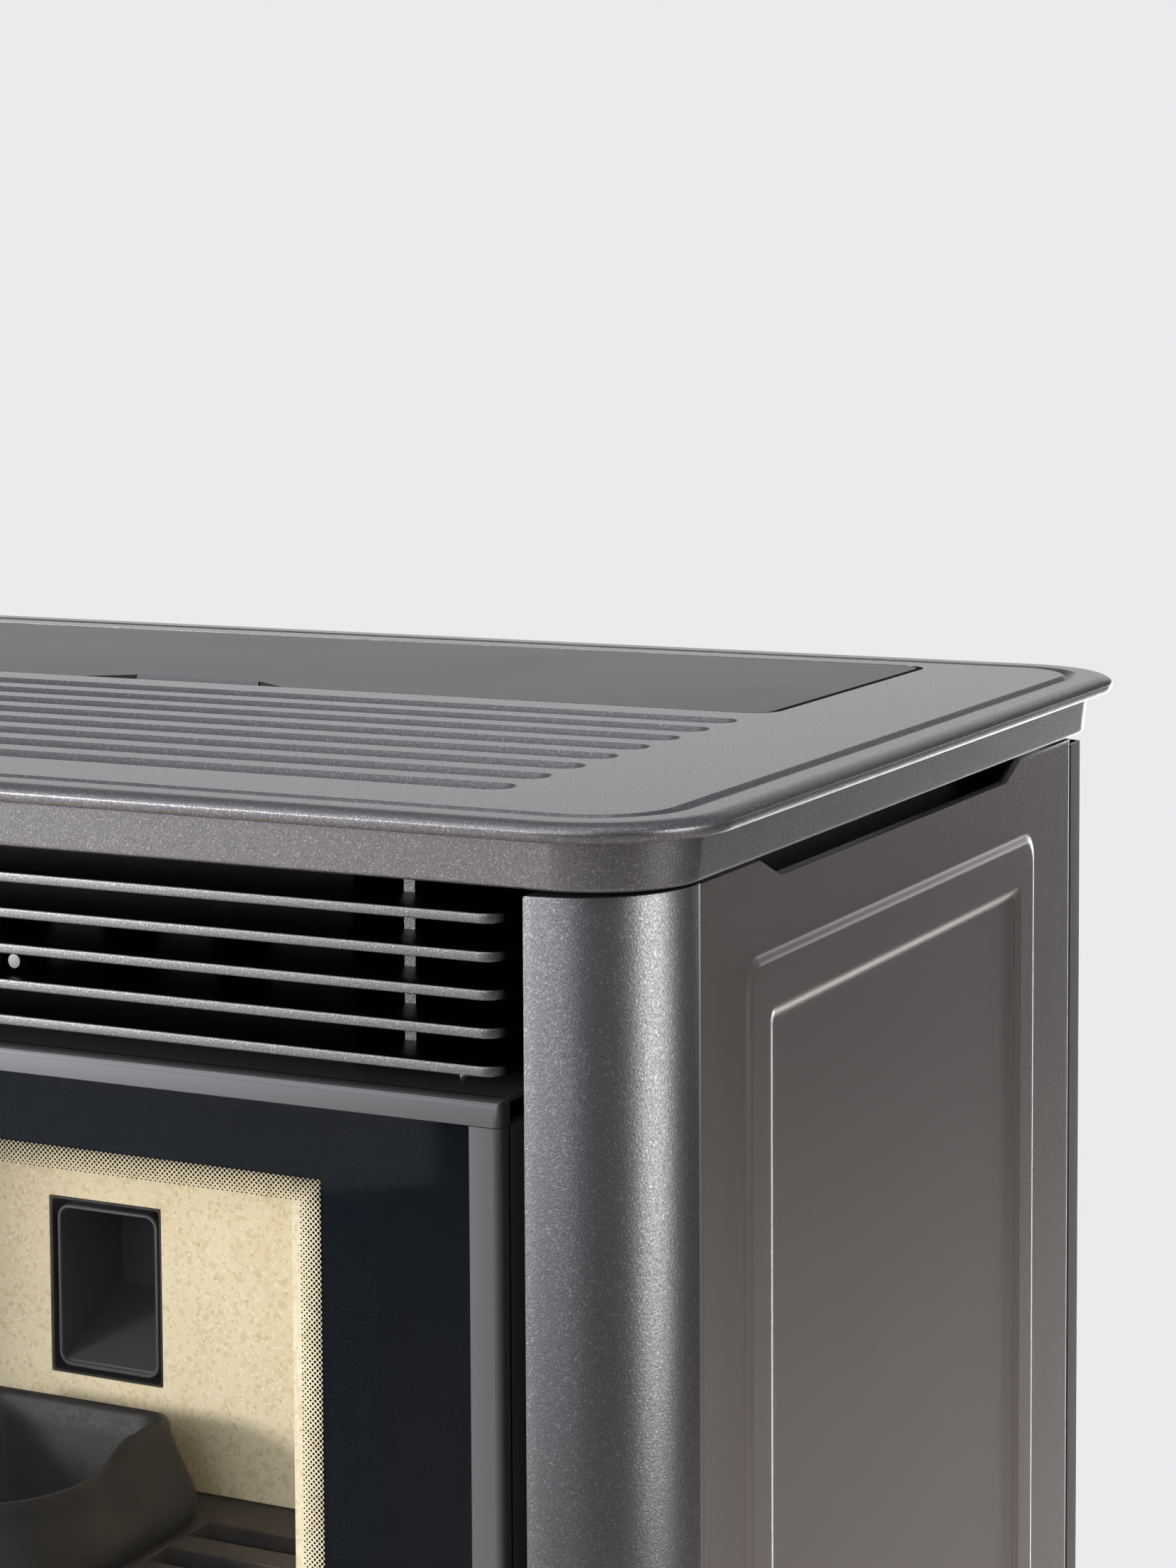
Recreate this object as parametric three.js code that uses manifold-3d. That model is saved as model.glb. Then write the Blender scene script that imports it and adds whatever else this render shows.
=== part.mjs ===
// Pellet stove with a cast top plate, louvre grille, framed glass door, hopper lid and ash drawer.
// Millimetres, +Z up, front towards -Y. Origin on the floor, below the middle of the top plate.
import * as THREE from 'three';
import { mergeVertices } from 'three/addons/utils/BufferGeometryUtils.js';
import Module from 'manifold-3d';

const wasm = await Module();
wasm.setup();

// Clearances
const seat = 0.3;            // between two pieces that bear on each other
const running = 0.4;         // round a shaft or pin that turns
const slideGap = 0.5;        // round a piece that slides
const past = 5;              // how far a cutter runs past what it cuts

// Top plate
const stoveHeight = 1040;
const topWidth = 790;
const topDepth = 540;
const topCornerRadius = 54;
const fieldInset = 23.6;     // where the flat field meets the groove
const landInset = 16;
const bullnoseInset = 7.5;
const grooveDepth = 2;
const rimHeight = 7.05;
const skirtInset = 11.5;
const skirtDraft = 1.9;
const skirtHeight = 26.4;
const skirtWall = 5;
const fieldThickness = 9;
const fluteCount = 8;
const flutePitch = 29.35;
const fluteFirstY = -198;
const fluteSideInset = 97;   // flutes and lid inside the top plate's sides
const fluteWidth = 17.5;
const fluteDepth = 3.7;

// Hopper lid
const lidSideInset = 97;
const lidFrontY = 36;
const lidRearY = 230;
const lidCornerRadius = 10;
const lidGapSide = 3.5;
const lidGapFront = 0.6;
const lidThickness = 2.5;
const lidSkirtHeight = 14;
const lidSkirtWall = 2;
const notchHalfFront = 55.5;
const notchHalfBack = 34;
const notchDepth = 15;
const tabHeight = 9;
const tabSlope = 4;
const lidAxisBack = 9;       // hinge axis ahead of the lid's rear edge
const lidAxisDown = 7;       // and below the top plane
const lidPinRadius = 2.5;
const lidHingeInset = 114;   // hinge middle inside the lid's side
const lidLugWidth = 10;
const lidEarWidth = 4;

// Casing
const footHeight = 28;
const footRadius = 24;
const footStemRadius = 6;
const footInset = 60;
const plinthHeight = 30;
const plinthWall = 6;
const plinthMargin = 8;      // plinth past the casing's sides
const plinthFrontY = -262;
const plinthRearY = 244;
const plinthCornerRadius = 50;
const caseOverhang = 18;     // top plate past the casing's sides
const caseRearY = 237;
const columnFrontY = -254;
const columnRadius = 47;
const columnWall = 7;
const columnLegEndY = -200;
const columnTopGap = 2.4;    // shadow gap below the top plate's skirt
const sheet = 2;
const sidePanelRearY = 217.5;
const sidePanelTopDrop = 29;
const sideNotchDrop = 37.7;
const sideNotchFrontY = -131;
const sideNotchRearY = 127;
const sideNotchSlope = 20;
const bandHeight = 2.2;
const bandFrontY = -167;
const bandRearY = 165;
const bandTopDrop = 64;
const bandWidth = 25;
const bandBottomRise = 36;
const bandRadius = 10;
const rearPanelRadius = 6;
const rearPanelTopDrop = 32;
const ventX = 75;
const ventHalfWidth = 55;
const ventHeight = 6;
const ventPitch = 18;
const ventLowZ = 150;
const ventRows = 6;
const chassisInset = 29;     // chassis side inside the casing's side
const chassisSheet = 3;
const chassisFrontY = -196;
const chassisRearY = 215;
const shelfZ = 439;
const shelfFrontY = -216;
const shelfRearY = -20;

// Louvre grille
const bladeCount = 5;
const bladeFirstDrop = 37;
const bladePitch = 13.87;
const bladeThickness = 3.7;
const bladeSideGap = 11;
const bladeFrontY = -252;
const bladeRearY = -203;
const bladeCornerRadius = 8;
const postX = 268;
const postWidth = 4.6;
const postFrontY = -225;
const postDepth = 8;

// Door
const doorSideGap = 12;
const doorBottomZ = 600;
const doorTopDrop = 105.5;
const doorFrontY = -250;
const stileWidth = 12.5;
const topRailHeight = 9.5;
const bottomRailHeight = 34;
const lipThickness = 8;
const frameWall = 4;
const frameDepth = 24;
const railReturnDepth = 45;
const glassThickness = 5;
const glassEdge = 6.5;       // how far the glass tucks in behind the stiles
const innerFrameSheet = 3;
const windowSideInset = 78;  // window inside the door's sides
const windowTopDrop = 137;
const windowBottomZ = 636;
const gasketWidth = 9;
const gasketDepth = 8.5;
const gasketOuterMargin = 13;
const doorPinOut = 6;        // hinge axis past the door's edge
const doorPinY = -247.5;
const doorPinRadius = 3;
const knuckleRadius = 4.8;
const knuckleLength = 30;
const knuckleLowerRise = 80;  // lower knuckle above the door's lower edge
const knuckleUpperDrop = 84.5; // upper knuckle below its upper edge
const hingeBossLength = 16;
const knobInset = 33;        // knob axis inside the door's edge
const knobRise = 13;         // knob axis above the door's lower edge
const knobRadius = 17;
const knobGrip = 13;
const spindleRadius = 4;
const camLength = 28;
const camWidth = 8;
const camThickness = 4;
const knobDisc = 6;
const knobGripHalf = 4.5;
const knobBoreDepth = 12;

// Firebox
const frontPlateY = -224.2;
const frontPlateThickness = 4;
const frontPlateBottomZ = 583;
const frontPlateTopDrop = 109;
const mouthSideInset = 5;
const mouthBottomZ = 640;
const mouthTopDrop = 140;
const slotClearance = 3;
const shellSideGap = 107;    // air space between firebox and chassis
const shellWall = 3;
const shellRearY = -4;
const shellBottomZ = 597.3;
const shellTopDrop = 115;
const shellVentInset = 26;
const liningThickness = 25;
const liningSideTopDrop = 35; // side linings and baffle below the shell's top
const backFaceY = -34;
const grateTopZ = 679;
const grateThickness = 8;
const slotStartX = 72;
const slotEndInset = 36;
const slotFirstY = -71;
const slotPitch = 32.5;
const slotWidth = 17.5;
const slotCount = 4;
const baffleThickness = 15;
const baffleFrontY = -190;
const chuteHalfWidth = 30.5;
const chuteWall = 2.5;
const chuteBottomZ = 725;
const chuteTopZ = 808;
const chuteRecess = 9;
const chuteDuctDepth = 27;
const chuteDuctHeight = 82;
const chuteDuctLean = 9;
const chuteShoulder = 8;
const chuteLipDrop = 12;
const potHalfWidth = 55;
const potBackY = -58;
const potCentreY = -125;
const potRimZ = 724;
const potWall = 7;
const potBulge = 14;
const potFloorZ = 654;
const potBottomZ = 646;
const potNeck = 5;
const potHoleRadius = 2.5;
const potHolePitch = 14;
const potHoleShift = 6;
const igniterRadius = 8;
const igniterRise = 4;       // igniter axis above the pot's floor
const igniterFrontGap = 8;
const igniterReach = 40;     // past the firebox's rear wall

// Heat exchanger
const exchangerSideInset = 11;
const exchangerFrontY = -200;
const exchangerRearY = -4;
const exchangerHeight = 92;
const exchangerWall = 2.5;
const tubeCount = 8;
const tubeSideInset = 49.75;
const tubeRadius = 17;
const tubeWall = 2;
const tubeRise = 47;
const scraperSheet = 3;
const scraperY = -20;
const scraperHeight = 48;
const rodRadius = 3;
const rodPitches = 2;        // tube pitches from the middle to a rod
const rodTipY = -243;
const rodDrop = 73.5;

// Hopper and auger
const hopperSideInset = 7;
const hopperFrontY = 58;
const hopperRearY = 206;
const hopperWall = 2;
const hopperKneeZ = 925;
const hopperWaistZ = 760;
const hopperWaistHalf = 120;
const throatHalf = 28;
const flangeDrop = 20;
const flangeFrontY = 30;
const flangeRearY = 231;
const sealWidth = 8;
const augerFoot = new THREE.Vector3(0, 120, 560);
const augerLean = 15.38 * Math.PI / 180;
const augerRadius = 32;
const augerWall = 3;
const augerLength = 340;
const flightRadius = 26;
const flightPitch = 58;
const flightThickness = 3;
const screwShaftRadius = 8;
const throatLow = 40;        // distances up the auger
const throatHigh = 120;
const outletLow = 275;
const outletHigh = 335;
const augerMotorSize = 62;
const augerMotorLength = 70;

// Fans, pipes and electrics
const smokeFanX = 170;
const smokeFanZ = 655;
const smokeFanRadius = 70;
const smokeFanDepth = 56;
const smokeWheelRadius = 58;
const smokeWheelBlades = 8;
const smokeBladeDepth = 22;
const smokeBladeMargin = 6;
const smokeWheelBack = 5;    // wheel disc ahead of the housing's back
const smokeEyeRadius = 32;
const smokeEyeDrop = 30;
const smokePortGrow = 3;     // hole in the firebox round the fan's eye
const smokeMotorRadius = 36;
const smokeMotorLength = 66;
const spoutWidth = 64;
const spoutDrop = 95;
const fanSheet = 2;
const fanShaftRadius = 4;
const fanShaftReach = 8;
const fluePipeRadius = 40;
const fluePipeWall = 2;
const fluePipeX = 250;
const fluePipeZ = 470;
const flueStartInset = 32;
const flueBendRise = 22;
const flueBendReach = 75;
const flueTrimHalf = 60;
const flueTrimHeight = 40;
const pipeEndY = 262;
const intakeX = -130;
const intakeZ = 640;
const intakeRadius = 25;
const intakeWall = 1.5;
const roomFanZ = 130;
const roomFanY = 110;
const roomDrumRadius = 32;
const roomDrumHalf = 120;
const roomScrollRadius = 46;
const roomEndGap = 6;        // housing's end past the drum
const roomBladeCount = 14;
const roomBladeDepth = 7;
const roomBladeSheet = 1.2;
const roomBladeTilt = 0.6;
const roomMotorRadius = 30;
const roomMotorLength = 64;
const roomOutletHeight = 30;
const roomInletFront = 24;
const roomInletBack = 10;
const inletX = -300;
const inletZ = 125;
const inletPlateHalf = [30, 28];
const inletBodyHalf = [25, 23];
const inletBodyDepth = 30;
const inletPlate = 3;
const socketHalfWidth = 14;
const socketDepth = 16;
const socketLow = 19;        // socket and switch openings, from the inlet's middle
const socketHigh = 1;
const switchHalfWidth = 11;
const switchDepth = 12;
const switchLow = 4;
const switchHigh = 18;
const rockerGap = 0.6;
const controlBoxWidth = 45;
const controlBoxFrontY = 60;
const controlBoxRearY = 180;
const controlBoxLowZ = 300;
const controlBoxHighZ = 420;
const touchInset = 58;       // middle of the touch panel from the top plate's edge
const touchHalfWidth = 25;
const touchFrontY = 60;
const touchRearY = 190;
const touchThickness = 4;

// Ash drawer and lower panel
const drawerSideInset = 16;
const drawerRearY = -30;
const drawerTopZ = 580;
const drawerWall = 2;
const drawerFrontTopZ = 592;
const drawerFrontBottomZ = 440;
const drawerFrontThickness = 6;
const fingerHalfWidth = 50;
const fingerDepth = 12;
const panelGap = 8;

// Worked out from the sizes above
const plinthTopZ = footHeight + plinthHeight;
const undersideZ = stoveHeight - fieldThickness;
const doorTopZ = stoveHeight - doorTopDrop;
const caseHalfWidth = topWidth / 2 - caseOverhang;
const plinthHalfWidth = caseHalfWidth + plinthMargin;
const columnInnerX = caseHalfWidth - columnRadius;
const chassisHalfWidth = caseHalfWidth - chassisInset;
const doorHalfWidth = columnInnerX - doorSideGap;
const bladeHalfWidth = columnInnerX - bladeSideGap;
const doorPinX = -doorHalfWidth - doorPinOut;
const knobX = doorHalfWidth - knobInset;
const touchX = touchInset - topWidth / 2;
const fluteHalfLength = topWidth / 2 - fluteSideInset;
const lidHalfWidth = topWidth / 2 - lidSideInset;
const lidHingeX = lidHalfWidth - lidHingeInset;
const hopperHalfWidth = lidHalfWidth - hopperSideInset;
const windowHalfWidth = doorHalfWidth - windowSideInset;
const shellHalfWidth = chassisHalfWidth - shellSideGap;
const mouthHalfWidth = shellHalfWidth - mouthSideInset;
const drawerHalfWidth = shellHalfWidth - drawerSideInset;
const slotEndX = shellHalfWidth - slotEndInset;
const exchangerHalfWidth = shellHalfWidth - exchangerSideInset;
const tubePitch = 2 * (exchangerHalfWidth - tubeSideInset) / (tubeCount - 1);
const rodX = tubePitch * rodPitches;
const glassFrontY = doorFrontY + lipThickness + seat;
const innerFrameY = glassFrontY + glassThickness + seat;
const innerFrameBackY = innerFrameY + innerFrameSheet;
const lidAxisY = lidRearY - lidAxisBack;
const lidAxisZ = stoveHeight - lidAxisDown;
const knobZ = doorBottomZ + knobRise;
const shellTopZ = stoveHeight - shellTopDrop;
const liningSideTopZ = shellTopZ - liningSideTopDrop;
const knuckleLowerZ = doorBottomZ + knuckleLowerRise;
const knuckleUpperZ = doorTopZ - knuckleUpperDrop;
const fanAxis = [smokeFanX, smokeFanZ];
const spoutEndZ = smokeFanZ - spoutDrop;
const augerClearRadius = augerRadius + slideGap;
const exchangerZ = shellTopZ + seat;
const tubeZ = exchangerZ + tubeRise;
const flangeZ = stoveHeight - flangeDrop;
const frontPlateBackY = frontPlateY + frontPlateThickness;
const liningInnerX = shellHalfWidth - shellWall - slideGap;

// Solids
function solidOf(geometry) {
  geometry.deleteAttribute('normal');
  geometry.deleteAttribute('uv');
  const merged = mergeVertices(geometry);
  const index = merged.index.array;
  const kept = [];
  for (let i = 0; i < index.length; i += 3) {
    const [a, b, c] = [index[i], index[i + 1], index[i + 2]];
    if (a !== b && b !== c && c !== a) kept.push(a, b, c);
  }
  const vertProperties = new Float32Array(merged.attributes.position.array);
  return new wasm.Manifold(new wasm.Mesh({ numProp: 3, vertProperties, triVerts: new Uint32Array(kept) }));
}

function geometryOf(solid) {
  const mesh = solid.getMesh();
  const geometry = new THREE.BufferGeometry();
  geometry.setAttribute('position', new THREE.BufferAttribute(new Float32Array(mesh.vertProperties), 3));
  geometry.setIndex(new THREE.BufferAttribute(new Uint32Array(mesh.triVerts), 1));
  geometry.computeVertexNormals();
  return geometry;
}

function mirrored(solid) {
  const geometry = geometryOf(solid);
  geometry.scale(-1, 1, 1);
  const index = geometry.index.array;
  for (let i = 0; i < index.length; i += 3) {
    [index[i], index[i + 1]] = [index[i + 1], index[i]];
  }
  return solidOf(geometry);
}

const joined = (...solids) => solids.reduce((a, b) => a.add(b));
const cut = (solid, ...tools) => tools.reduce((a, b) => a.subtract(b), solid);

function box(x0, x1, y0, y1, z0, z1) {
  const geometry = new THREE.BoxGeometry(x1 - x0, y1 - y0, z1 - z0);
  return solidOf(geometry.translate((x0 + x1) / 2, (y0 + y1) / 2, (z0 + z1) / 2));
}

const axes = {
  x: new THREE.Matrix4().set(0, 0, 1, 0, 1, 0, 0, 0, 0, 1, 0, 0, 0, 0, 0, 1),
  y: new THREE.Matrix4().set(1, 0, 0, 0, 0, 0, -1, 0, 0, 1, 0, 0, 0, 0, 0, 1),
  z: new THREE.Matrix4(),
};

// A flat shape pushed along an axis: its own plane is (y, z) for x, (x, z) for y and (x, y) for z
function prism(axis, shape, from, to, curveSegments = 6) {
  const geometry = new THREE.ExtrudeGeometry(shape, { depth: to - from, bevelEnabled: false, curveSegments });
  geometry.translate(0, 0, axis === 'y' ? -to : from);
  return solidOf(geometry.applyMatrix4(axes[axis]));
}

function polygon(...points) {
  return new THREE.Shape(points.map(([a, b]) => new THREE.Vector2(a, b)));
}

function roundedRect(a0, a1, b0, b1, r) {
  const shape = new THREE.Shape();
  shape.absarc(a1 - r, b0 + r, r, -Math.PI / 2, 0);
  shape.absarc(a1 - r, b1 - r, r, 0, Math.PI / 2);
  shape.absarc(a0 + r, b1 - r, r, Math.PI / 2, Math.PI);
  shape.absarc(a0 + r, b0 + r, r, Math.PI, Math.PI * 1.5);
  return shape;
}

// A round bar along an axis; at = its two other coordinates in x, y, z order
function rod(axis, radius, from, to, at, segments = 12) {
  const geometry = new THREE.CylinderGeometry(radius, radius, to - from, segments);
  geometry.translate(0, (from + to) / 2, 0);
  if (axis === 'x') geometry.rotateZ(-Math.PI / 2).translate(0, at[0], at[1]);
  if (axis === 'y') geometry.translate(at[0], 0, at[1]);
  if (axis === 'z') geometry.rotateX(Math.PI / 2).translate(at[0], at[1], 0);
  return solidOf(geometry);
}

function pipe(axis, radius, wall, from, to, at, segments = 16) {
  const bore = rod(axis, radius - wall, from - past, to + past, at, segments);
  return cut(rod(axis, radius, from, to, at, segments), bore);
}

// Skin over a stack of rings with as many points each: capped at both ends, or looped back to the first ring
function loft(rings, looped = false) {
  const count = rings[0].length;
  const positions = rings.flat().flatMap((p) => [p.x, p.y, p.z]);
  const index = [];
  const bands = looped ? rings.length : rings.length - 1;
  for (let i = 0; i < bands; i += 1) {
    const next = (i + 1) % rings.length;
    for (let j = 0; j < count; j += 1) {
      const k = (j + 1) % count;
      const [a, b, c, d] = [i * count + j, i * count + k, next * count + k, next * count + j];
      index.push(a, b, c, a, c, d);
    }
  }
  if (!looped) {
    for (let j = 1; j < count - 1; j += 1) {
      const last = (rings.length - 1) * count;
      index.push(0, j + 1, j, last, last + j, last + j + 1);
    }
  }
  const at = (i) => new THREE.Vector3(...positions.slice(3 * i, 3 * i + 3));
  let volume = 0;
  for (let i = 0; i < index.length; i += 3) {
    volume += at(index[i]).dot(at(index[i + 1]).cross(at(index[i + 2])));
  }
  if (volume < 0) index.reverse();
  const geometry = new THREE.BufferGeometry();
  geometry.setAttribute('position', new THREE.Float32BufferAttribute(positions, 3));
  geometry.setIndex(index);
  return solidOf(geometry);
}

// Points round a rectangle with round corners, drawn in by inset, at height z
function outline(x0, x1, y0, y1, r, inset, z, steps = 6) {
  const radius = r - inset;
  const corners = [[x1 - r, y1 - r, 0], [x0 + r, y1 - r, 1], [x0 + r, y0 + r, 2], [x1 - r, y0 + r, 3]];
  const points = [];
  for (const [cx, cy, quarter] of corners) {
    for (let i = 0; i <= steps; i += 1) {
      const angle = (quarter + i / steps) * Math.PI / 2;
      points.push(new THREE.Vector3(cx + radius * Math.cos(angle), cy + radius * Math.sin(angle), z));
    }
  }
  return points;
}

function rectRing(half, y0, y1, z) {
  return [[-half, y0, z], [half, y0, z], [half, y1, z], [-half, y1, z]].map((p) => new THREE.Vector3(...p));
}

const stove = new THREE.Group();

const finishes = {
  castPaint: new THREE.MeshStandardMaterial({ color: 0x6f6d70, roughness: 0.62, metalness: 0.35 }),
  satinPaint: new THREE.MeshStandardMaterial({ color: 0x5a595b, roughness: 0.4, metalness: 0.3 }),
  lidPaint: new THREE.MeshStandardMaterial({ color: 0x7c7c80, roughness: 0.35, metalness: 0.4 }),
  blackSteel: new THREE.MeshStandardMaterial({ color: 0x1b1a1e, roughness: 0.55, metalness: 0.4 }),
  zincSteel: new THREE.MeshStandardMaterial({ color: 0xa9abad, roughness: 0.35, metalness: 0.9 }),
  vermiculite: new THREE.MeshStandardMaterial({ color: 0xd9c79b, roughness: 0.95, metalness: 0 }),
  castIron: new THREE.MeshStandardMaterial({ color: 0x3c3a3a, roughness: 0.7, metalness: 0.5 }),
  glass: new THREE.MeshStandardMaterial({
    color: 0x1b1f26, roughness: 0.05, transparent: true, opacity: 0.45,
  }),
  rope: new THREE.MeshStandardMaterial({ color: 0x2a2928, roughness: 1, metalness: 0 }),
  blackPlastic: new THREE.MeshStandardMaterial({ color: 0x141416, roughness: 0.45, metalness: 0 }),
};

function add(name, solid, finish, parent = stove) {
  const mesh = new THREE.Mesh(geometryOf(solid), finishes[finish]);
  mesh.name = name;
  parent.add(mesh);
}

function addPair(name, solid, finish) {
  add(`right_${name}`, solid, finish);
  add(`left_${name}`, mirrored(solid), finish);
}

function buildBase() {
  const ring = (inset, z) => outline(-plinthHalfWidth, plinthHalfWidth, plinthFrontY, plinthRearY,
    plinthCornerRadius, inset, z, 6);
  const skin = [
    ring(8, plinthTopZ),
    ring(2, plinthTopZ - 2),
    ring(0, plinthTopZ - 8),
    ring(0, footHeight),
    ring(plinthWall, footHeight),
    ring(plinthWall, plinthTopZ - plinthWall),
  ];
  add('base_plinth', loft(skin), 'castPaint');
  const stemTop = plinthTopZ - plinthWall - seat;
  const profile = [[0, 0], [footRadius - 2, 0], [footRadius, 3], [footRadius, 9], [footStemRadius + 5, 12],
    [footStemRadius, 16], [footStemRadius, stemTop], [0, stemTop]];
  for (const [side, x] of [['left', -1], ['right', 1]]) {
    for (const [end, y] of [['front', plinthFrontY + footInset], ['rear', plinthRearY - footInset]]) {
      const foot = new THREE.LatheGeometry(profile.map(([r, z]) => new THREE.Vector2(r, z)), 14);
      foot.rotateX(Math.PI / 2).translate(x * (plinthHalfWidth - footInset), y, 0);
      add(`${end}_${side}_foot`, solidOf(foot), 'blackPlastic');
    }
  }
}

function buildColumns() {
  const centreY = columnFrontY + columnRadius;
  const innerRadius = columnRadius - columnWall;
  const dip = Math.sqrt(innerRadius ** 2 - columnWall ** 2);
  const shape = new THREE.Shape();
  shape.moveTo(columnInnerX, columnFrontY);
  shape.absarc(columnInnerX, centreY, columnRadius, -Math.PI / 2, 0);
  shape.lineTo(columnInnerX + innerRadius, centreY);
  shape.absarc(columnInnerX, centreY, innerRadius, 0, -Math.atan2(dip, columnWall), true);
  shape.lineTo(columnInnerX + columnWall, columnLegEndY);
  shape.lineTo(columnInnerX, columnLegEndY);
  const top = stoveHeight - skirtHeight - columnTopGap;
  addPair('column', prism('z', shape, plinthTopZ + seat, top, 9), 'castPaint');
}

function buildSidePanels() {
  const bottom = plinthTopZ + 2;
  const frontY = columnFrontY + columnRadius + seat;
  const top = stoveHeight - sidePanelTopDrop;
  const notchZ = stoveHeight - sideNotchDrop;
  const panel = prism('x', polygon(
    [frontY, bottom], [sidePanelRearY, bottom], [sidePanelRearY, top], [sideNotchRearY + sideNotchSlope, top],
    [sideNotchRearY, notchZ], [sideNotchFrontY, notchZ],
    [sideNotchFrontY - sideNotchSlope, top], [frontY, top],
  ), caseHalfWidth - sheet, caseHalfWidth);
  const bevel = bandHeight - 0.2;
  const bandTop = stoveHeight - bandTopDrop;
  const bandBottom = bottom + bandBottomRise;
  const shape = roundedRect(bandFrontY, bandRearY, bandBottom, bandTop, bandRadius);
  shape.holes.push(roundedRect(bandFrontY + bandWidth, bandRearY - bandWidth, bandBottom + bandWidth,
    bandTop - bandWidth, bandRadius));
  const band = new THREE.ExtrudeGeometry(shape, {
    depth: 0.2, bevelThickness: bevel, bevelSize: bevel, bevelOffset: -bevel,
    bevelSegments: 1, curveSegments: 2,
  });
  band.translate(0, 0, caseHalfWidth).applyMatrix4(axes.x);
  const foldZ = bottom + sheet;
  const fold = box(chassisHalfWidth + seat, caseHalfWidth - sheet / 2, frontY, chassisRearY, bottom, foldZ);
  addPair('side_panel', joined(panel, solidOf(band), fold), 'satinPaint');
}

function buildRearPanel() {
  const r = rearPanelRadius;
  const lipY = sidePanelRearY + slideGap;
  const outer = roundedRect(-caseHalfWidth, caseHalfWidth, lipY - 2 * r, caseRearY, r);
  const inside = caseHalfWidth - sheet;
  const inner = roundedRect(-inside, inside, lipY - 3 * r, caseRearY - sheet, r - sheet);
  const [low, high] = [plinthTopZ + seat, stoveHeight - rearPanelTopDrop];
  const mouth = box(-topWidth, topWidth, lipY - 4 * r, lipY, low - past, high + past);
  let panel = cut(prism('z', outer, low, high, 4), prism('z', inner, low - past, high + past, 4), mouth);
  const through = [caseRearY - sheet - past, caseRearY + past];
  const bore = (radius, x, z) => rod('y', radius + 1, ...through, [x, z], 20);
  panel = cut(panel, bore(fluePipeRadius, fluePipeX, fluePipeZ), bore(intakeRadius, intakeX, intakeZ));
  const [bodyX, bodyZ] = inletBodyHalf.map((half) => half + 1);
  panel = cut(panel, box(inletX - bodyX, inletX + bodyX, ...through, inletZ - bodyZ, inletZ + bodyZ));
  for (let row = 0; row < ventRows; row += 1) {
    for (const x of [-ventX, ventX]) {
      const z = ventLowZ + row * ventPitch;
      panel = cut(panel, box(x - ventHalfWidth, x + ventHalfWidth, ...through, z, z + ventHeight));
    }
  }
  add('rear_panel', panel, 'satinPaint');
}

function buildChassis() {
  const [x, low] = [chassisHalfWidth, plinthTopZ + seat];
  const side = box(x - chassisSheet, x, chassisFrontY, chassisRearY, low, undersideZ - seat);
  const floor = box(-x + 1, x - 1, chassisFrontY, chassisRearY, low, low + chassisSheet);
  const shelfBack = box(-x + 1, x - 1, chassisFrontY, shelfRearY, shelfZ, shelfZ + chassisSheet);
  const half = columnInnerX - slideGap;
  const shelf = shelfBack.add(box(-half, half, shelfFrontY, shelfRearY, shelfZ, shelfZ + chassisSheet));
  add('chassis', joined(side, mirrored(side), floor, shelf), 'zincSteel');
}

function lidOpening() {
  return roundedRect(-lidHalfWidth - lidGapSide, lidHalfWidth + lidGapSide, lidFrontY - lidGapFront,
    lidRearY + lidGapSide, lidCornerRadius + lidGapSide);
}

function buildTopPlate() {
  const [halfX, halfY] = [topWidth / 2, topDepth / 2];
  const ring = (inset, drop) => outline(-halfX, halfX, -halfY, halfY, topCornerRadius, inset, stoveHeight - drop);
  const skin = [ring(fieldInset, 0)];
  const grooveWidth = fieldInset - landInset;
  for (const t of [0.25, 0.5, 0.75]) {
    skin.push(ring(fieldInset - t * grooveWidth, grooveDepth * Math.sin(Math.PI * t)));
  }
  skin.push(ring(landInset, 0));
  for (let i = 0; i <= 4; i += 1) {
    const angle = i / 4 * Math.PI / 2;
    skin.push(ring(bullnoseInset * (1 - Math.sin(angle)), rimHeight / 2 * (1 - Math.cos(angle))));
  }
  const foot = skirtInset + skirtDraft;
  const inner = foot + skirtWall;
  skin.push(ring(0.8, rimHeight - 0.8), ring(1.8, rimHeight), ring(skirtInset - 0.5, rimHeight));
  skin.push(ring(skirtInset, rimHeight + 0.6), ring(foot - 0.2, skirtHeight - 1.8));
  skin.push(ring(foot + 1.4, skirtHeight));
  skin.push(ring(inner, skirtHeight), ring(inner, fieldThickness));
  let plate = cut(loft(skin), prism('z', lidOpening(), undersideZ - past, stoveHeight + past, 4));
  const fluteRadius = (fluteWidth ** 2 / 4 + fluteDepth ** 2) / (2 * fluteDepth);
  const straight = 2 * fluteHalfLength - fluteWidth;
  for (let i = 0; i < fluteCount; i += 1) {
    const flute = new THREE.CapsuleGeometry(fluteRadius, straight, 4, 26);
    flute.rotateZ(Math.PI / 2);
    flute.translate(0, fluteFirstY + i * flutePitch, stoveHeight + fluteRadius - fluteDepth);
    plate = cut(plate, solidOf(flute));
  }
  const touchPocket = box(touchX - touchHalfWidth - slideGap, touchX + touchHalfWidth + slideGap,
    touchFrontY - slideGap, touchRearY + slideGap, stoveHeight - touchThickness - seat, stoveHeight + past);
  add('top_plate', cut(plate, touchPocket), 'castPaint');
  add('touch_panel', box(touchX - touchHalfWidth, touchX + touchHalfWidth, touchFrontY, touchRearY,
    stoveHeight - touchThickness, stoveHeight), 'glass');
}

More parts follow.
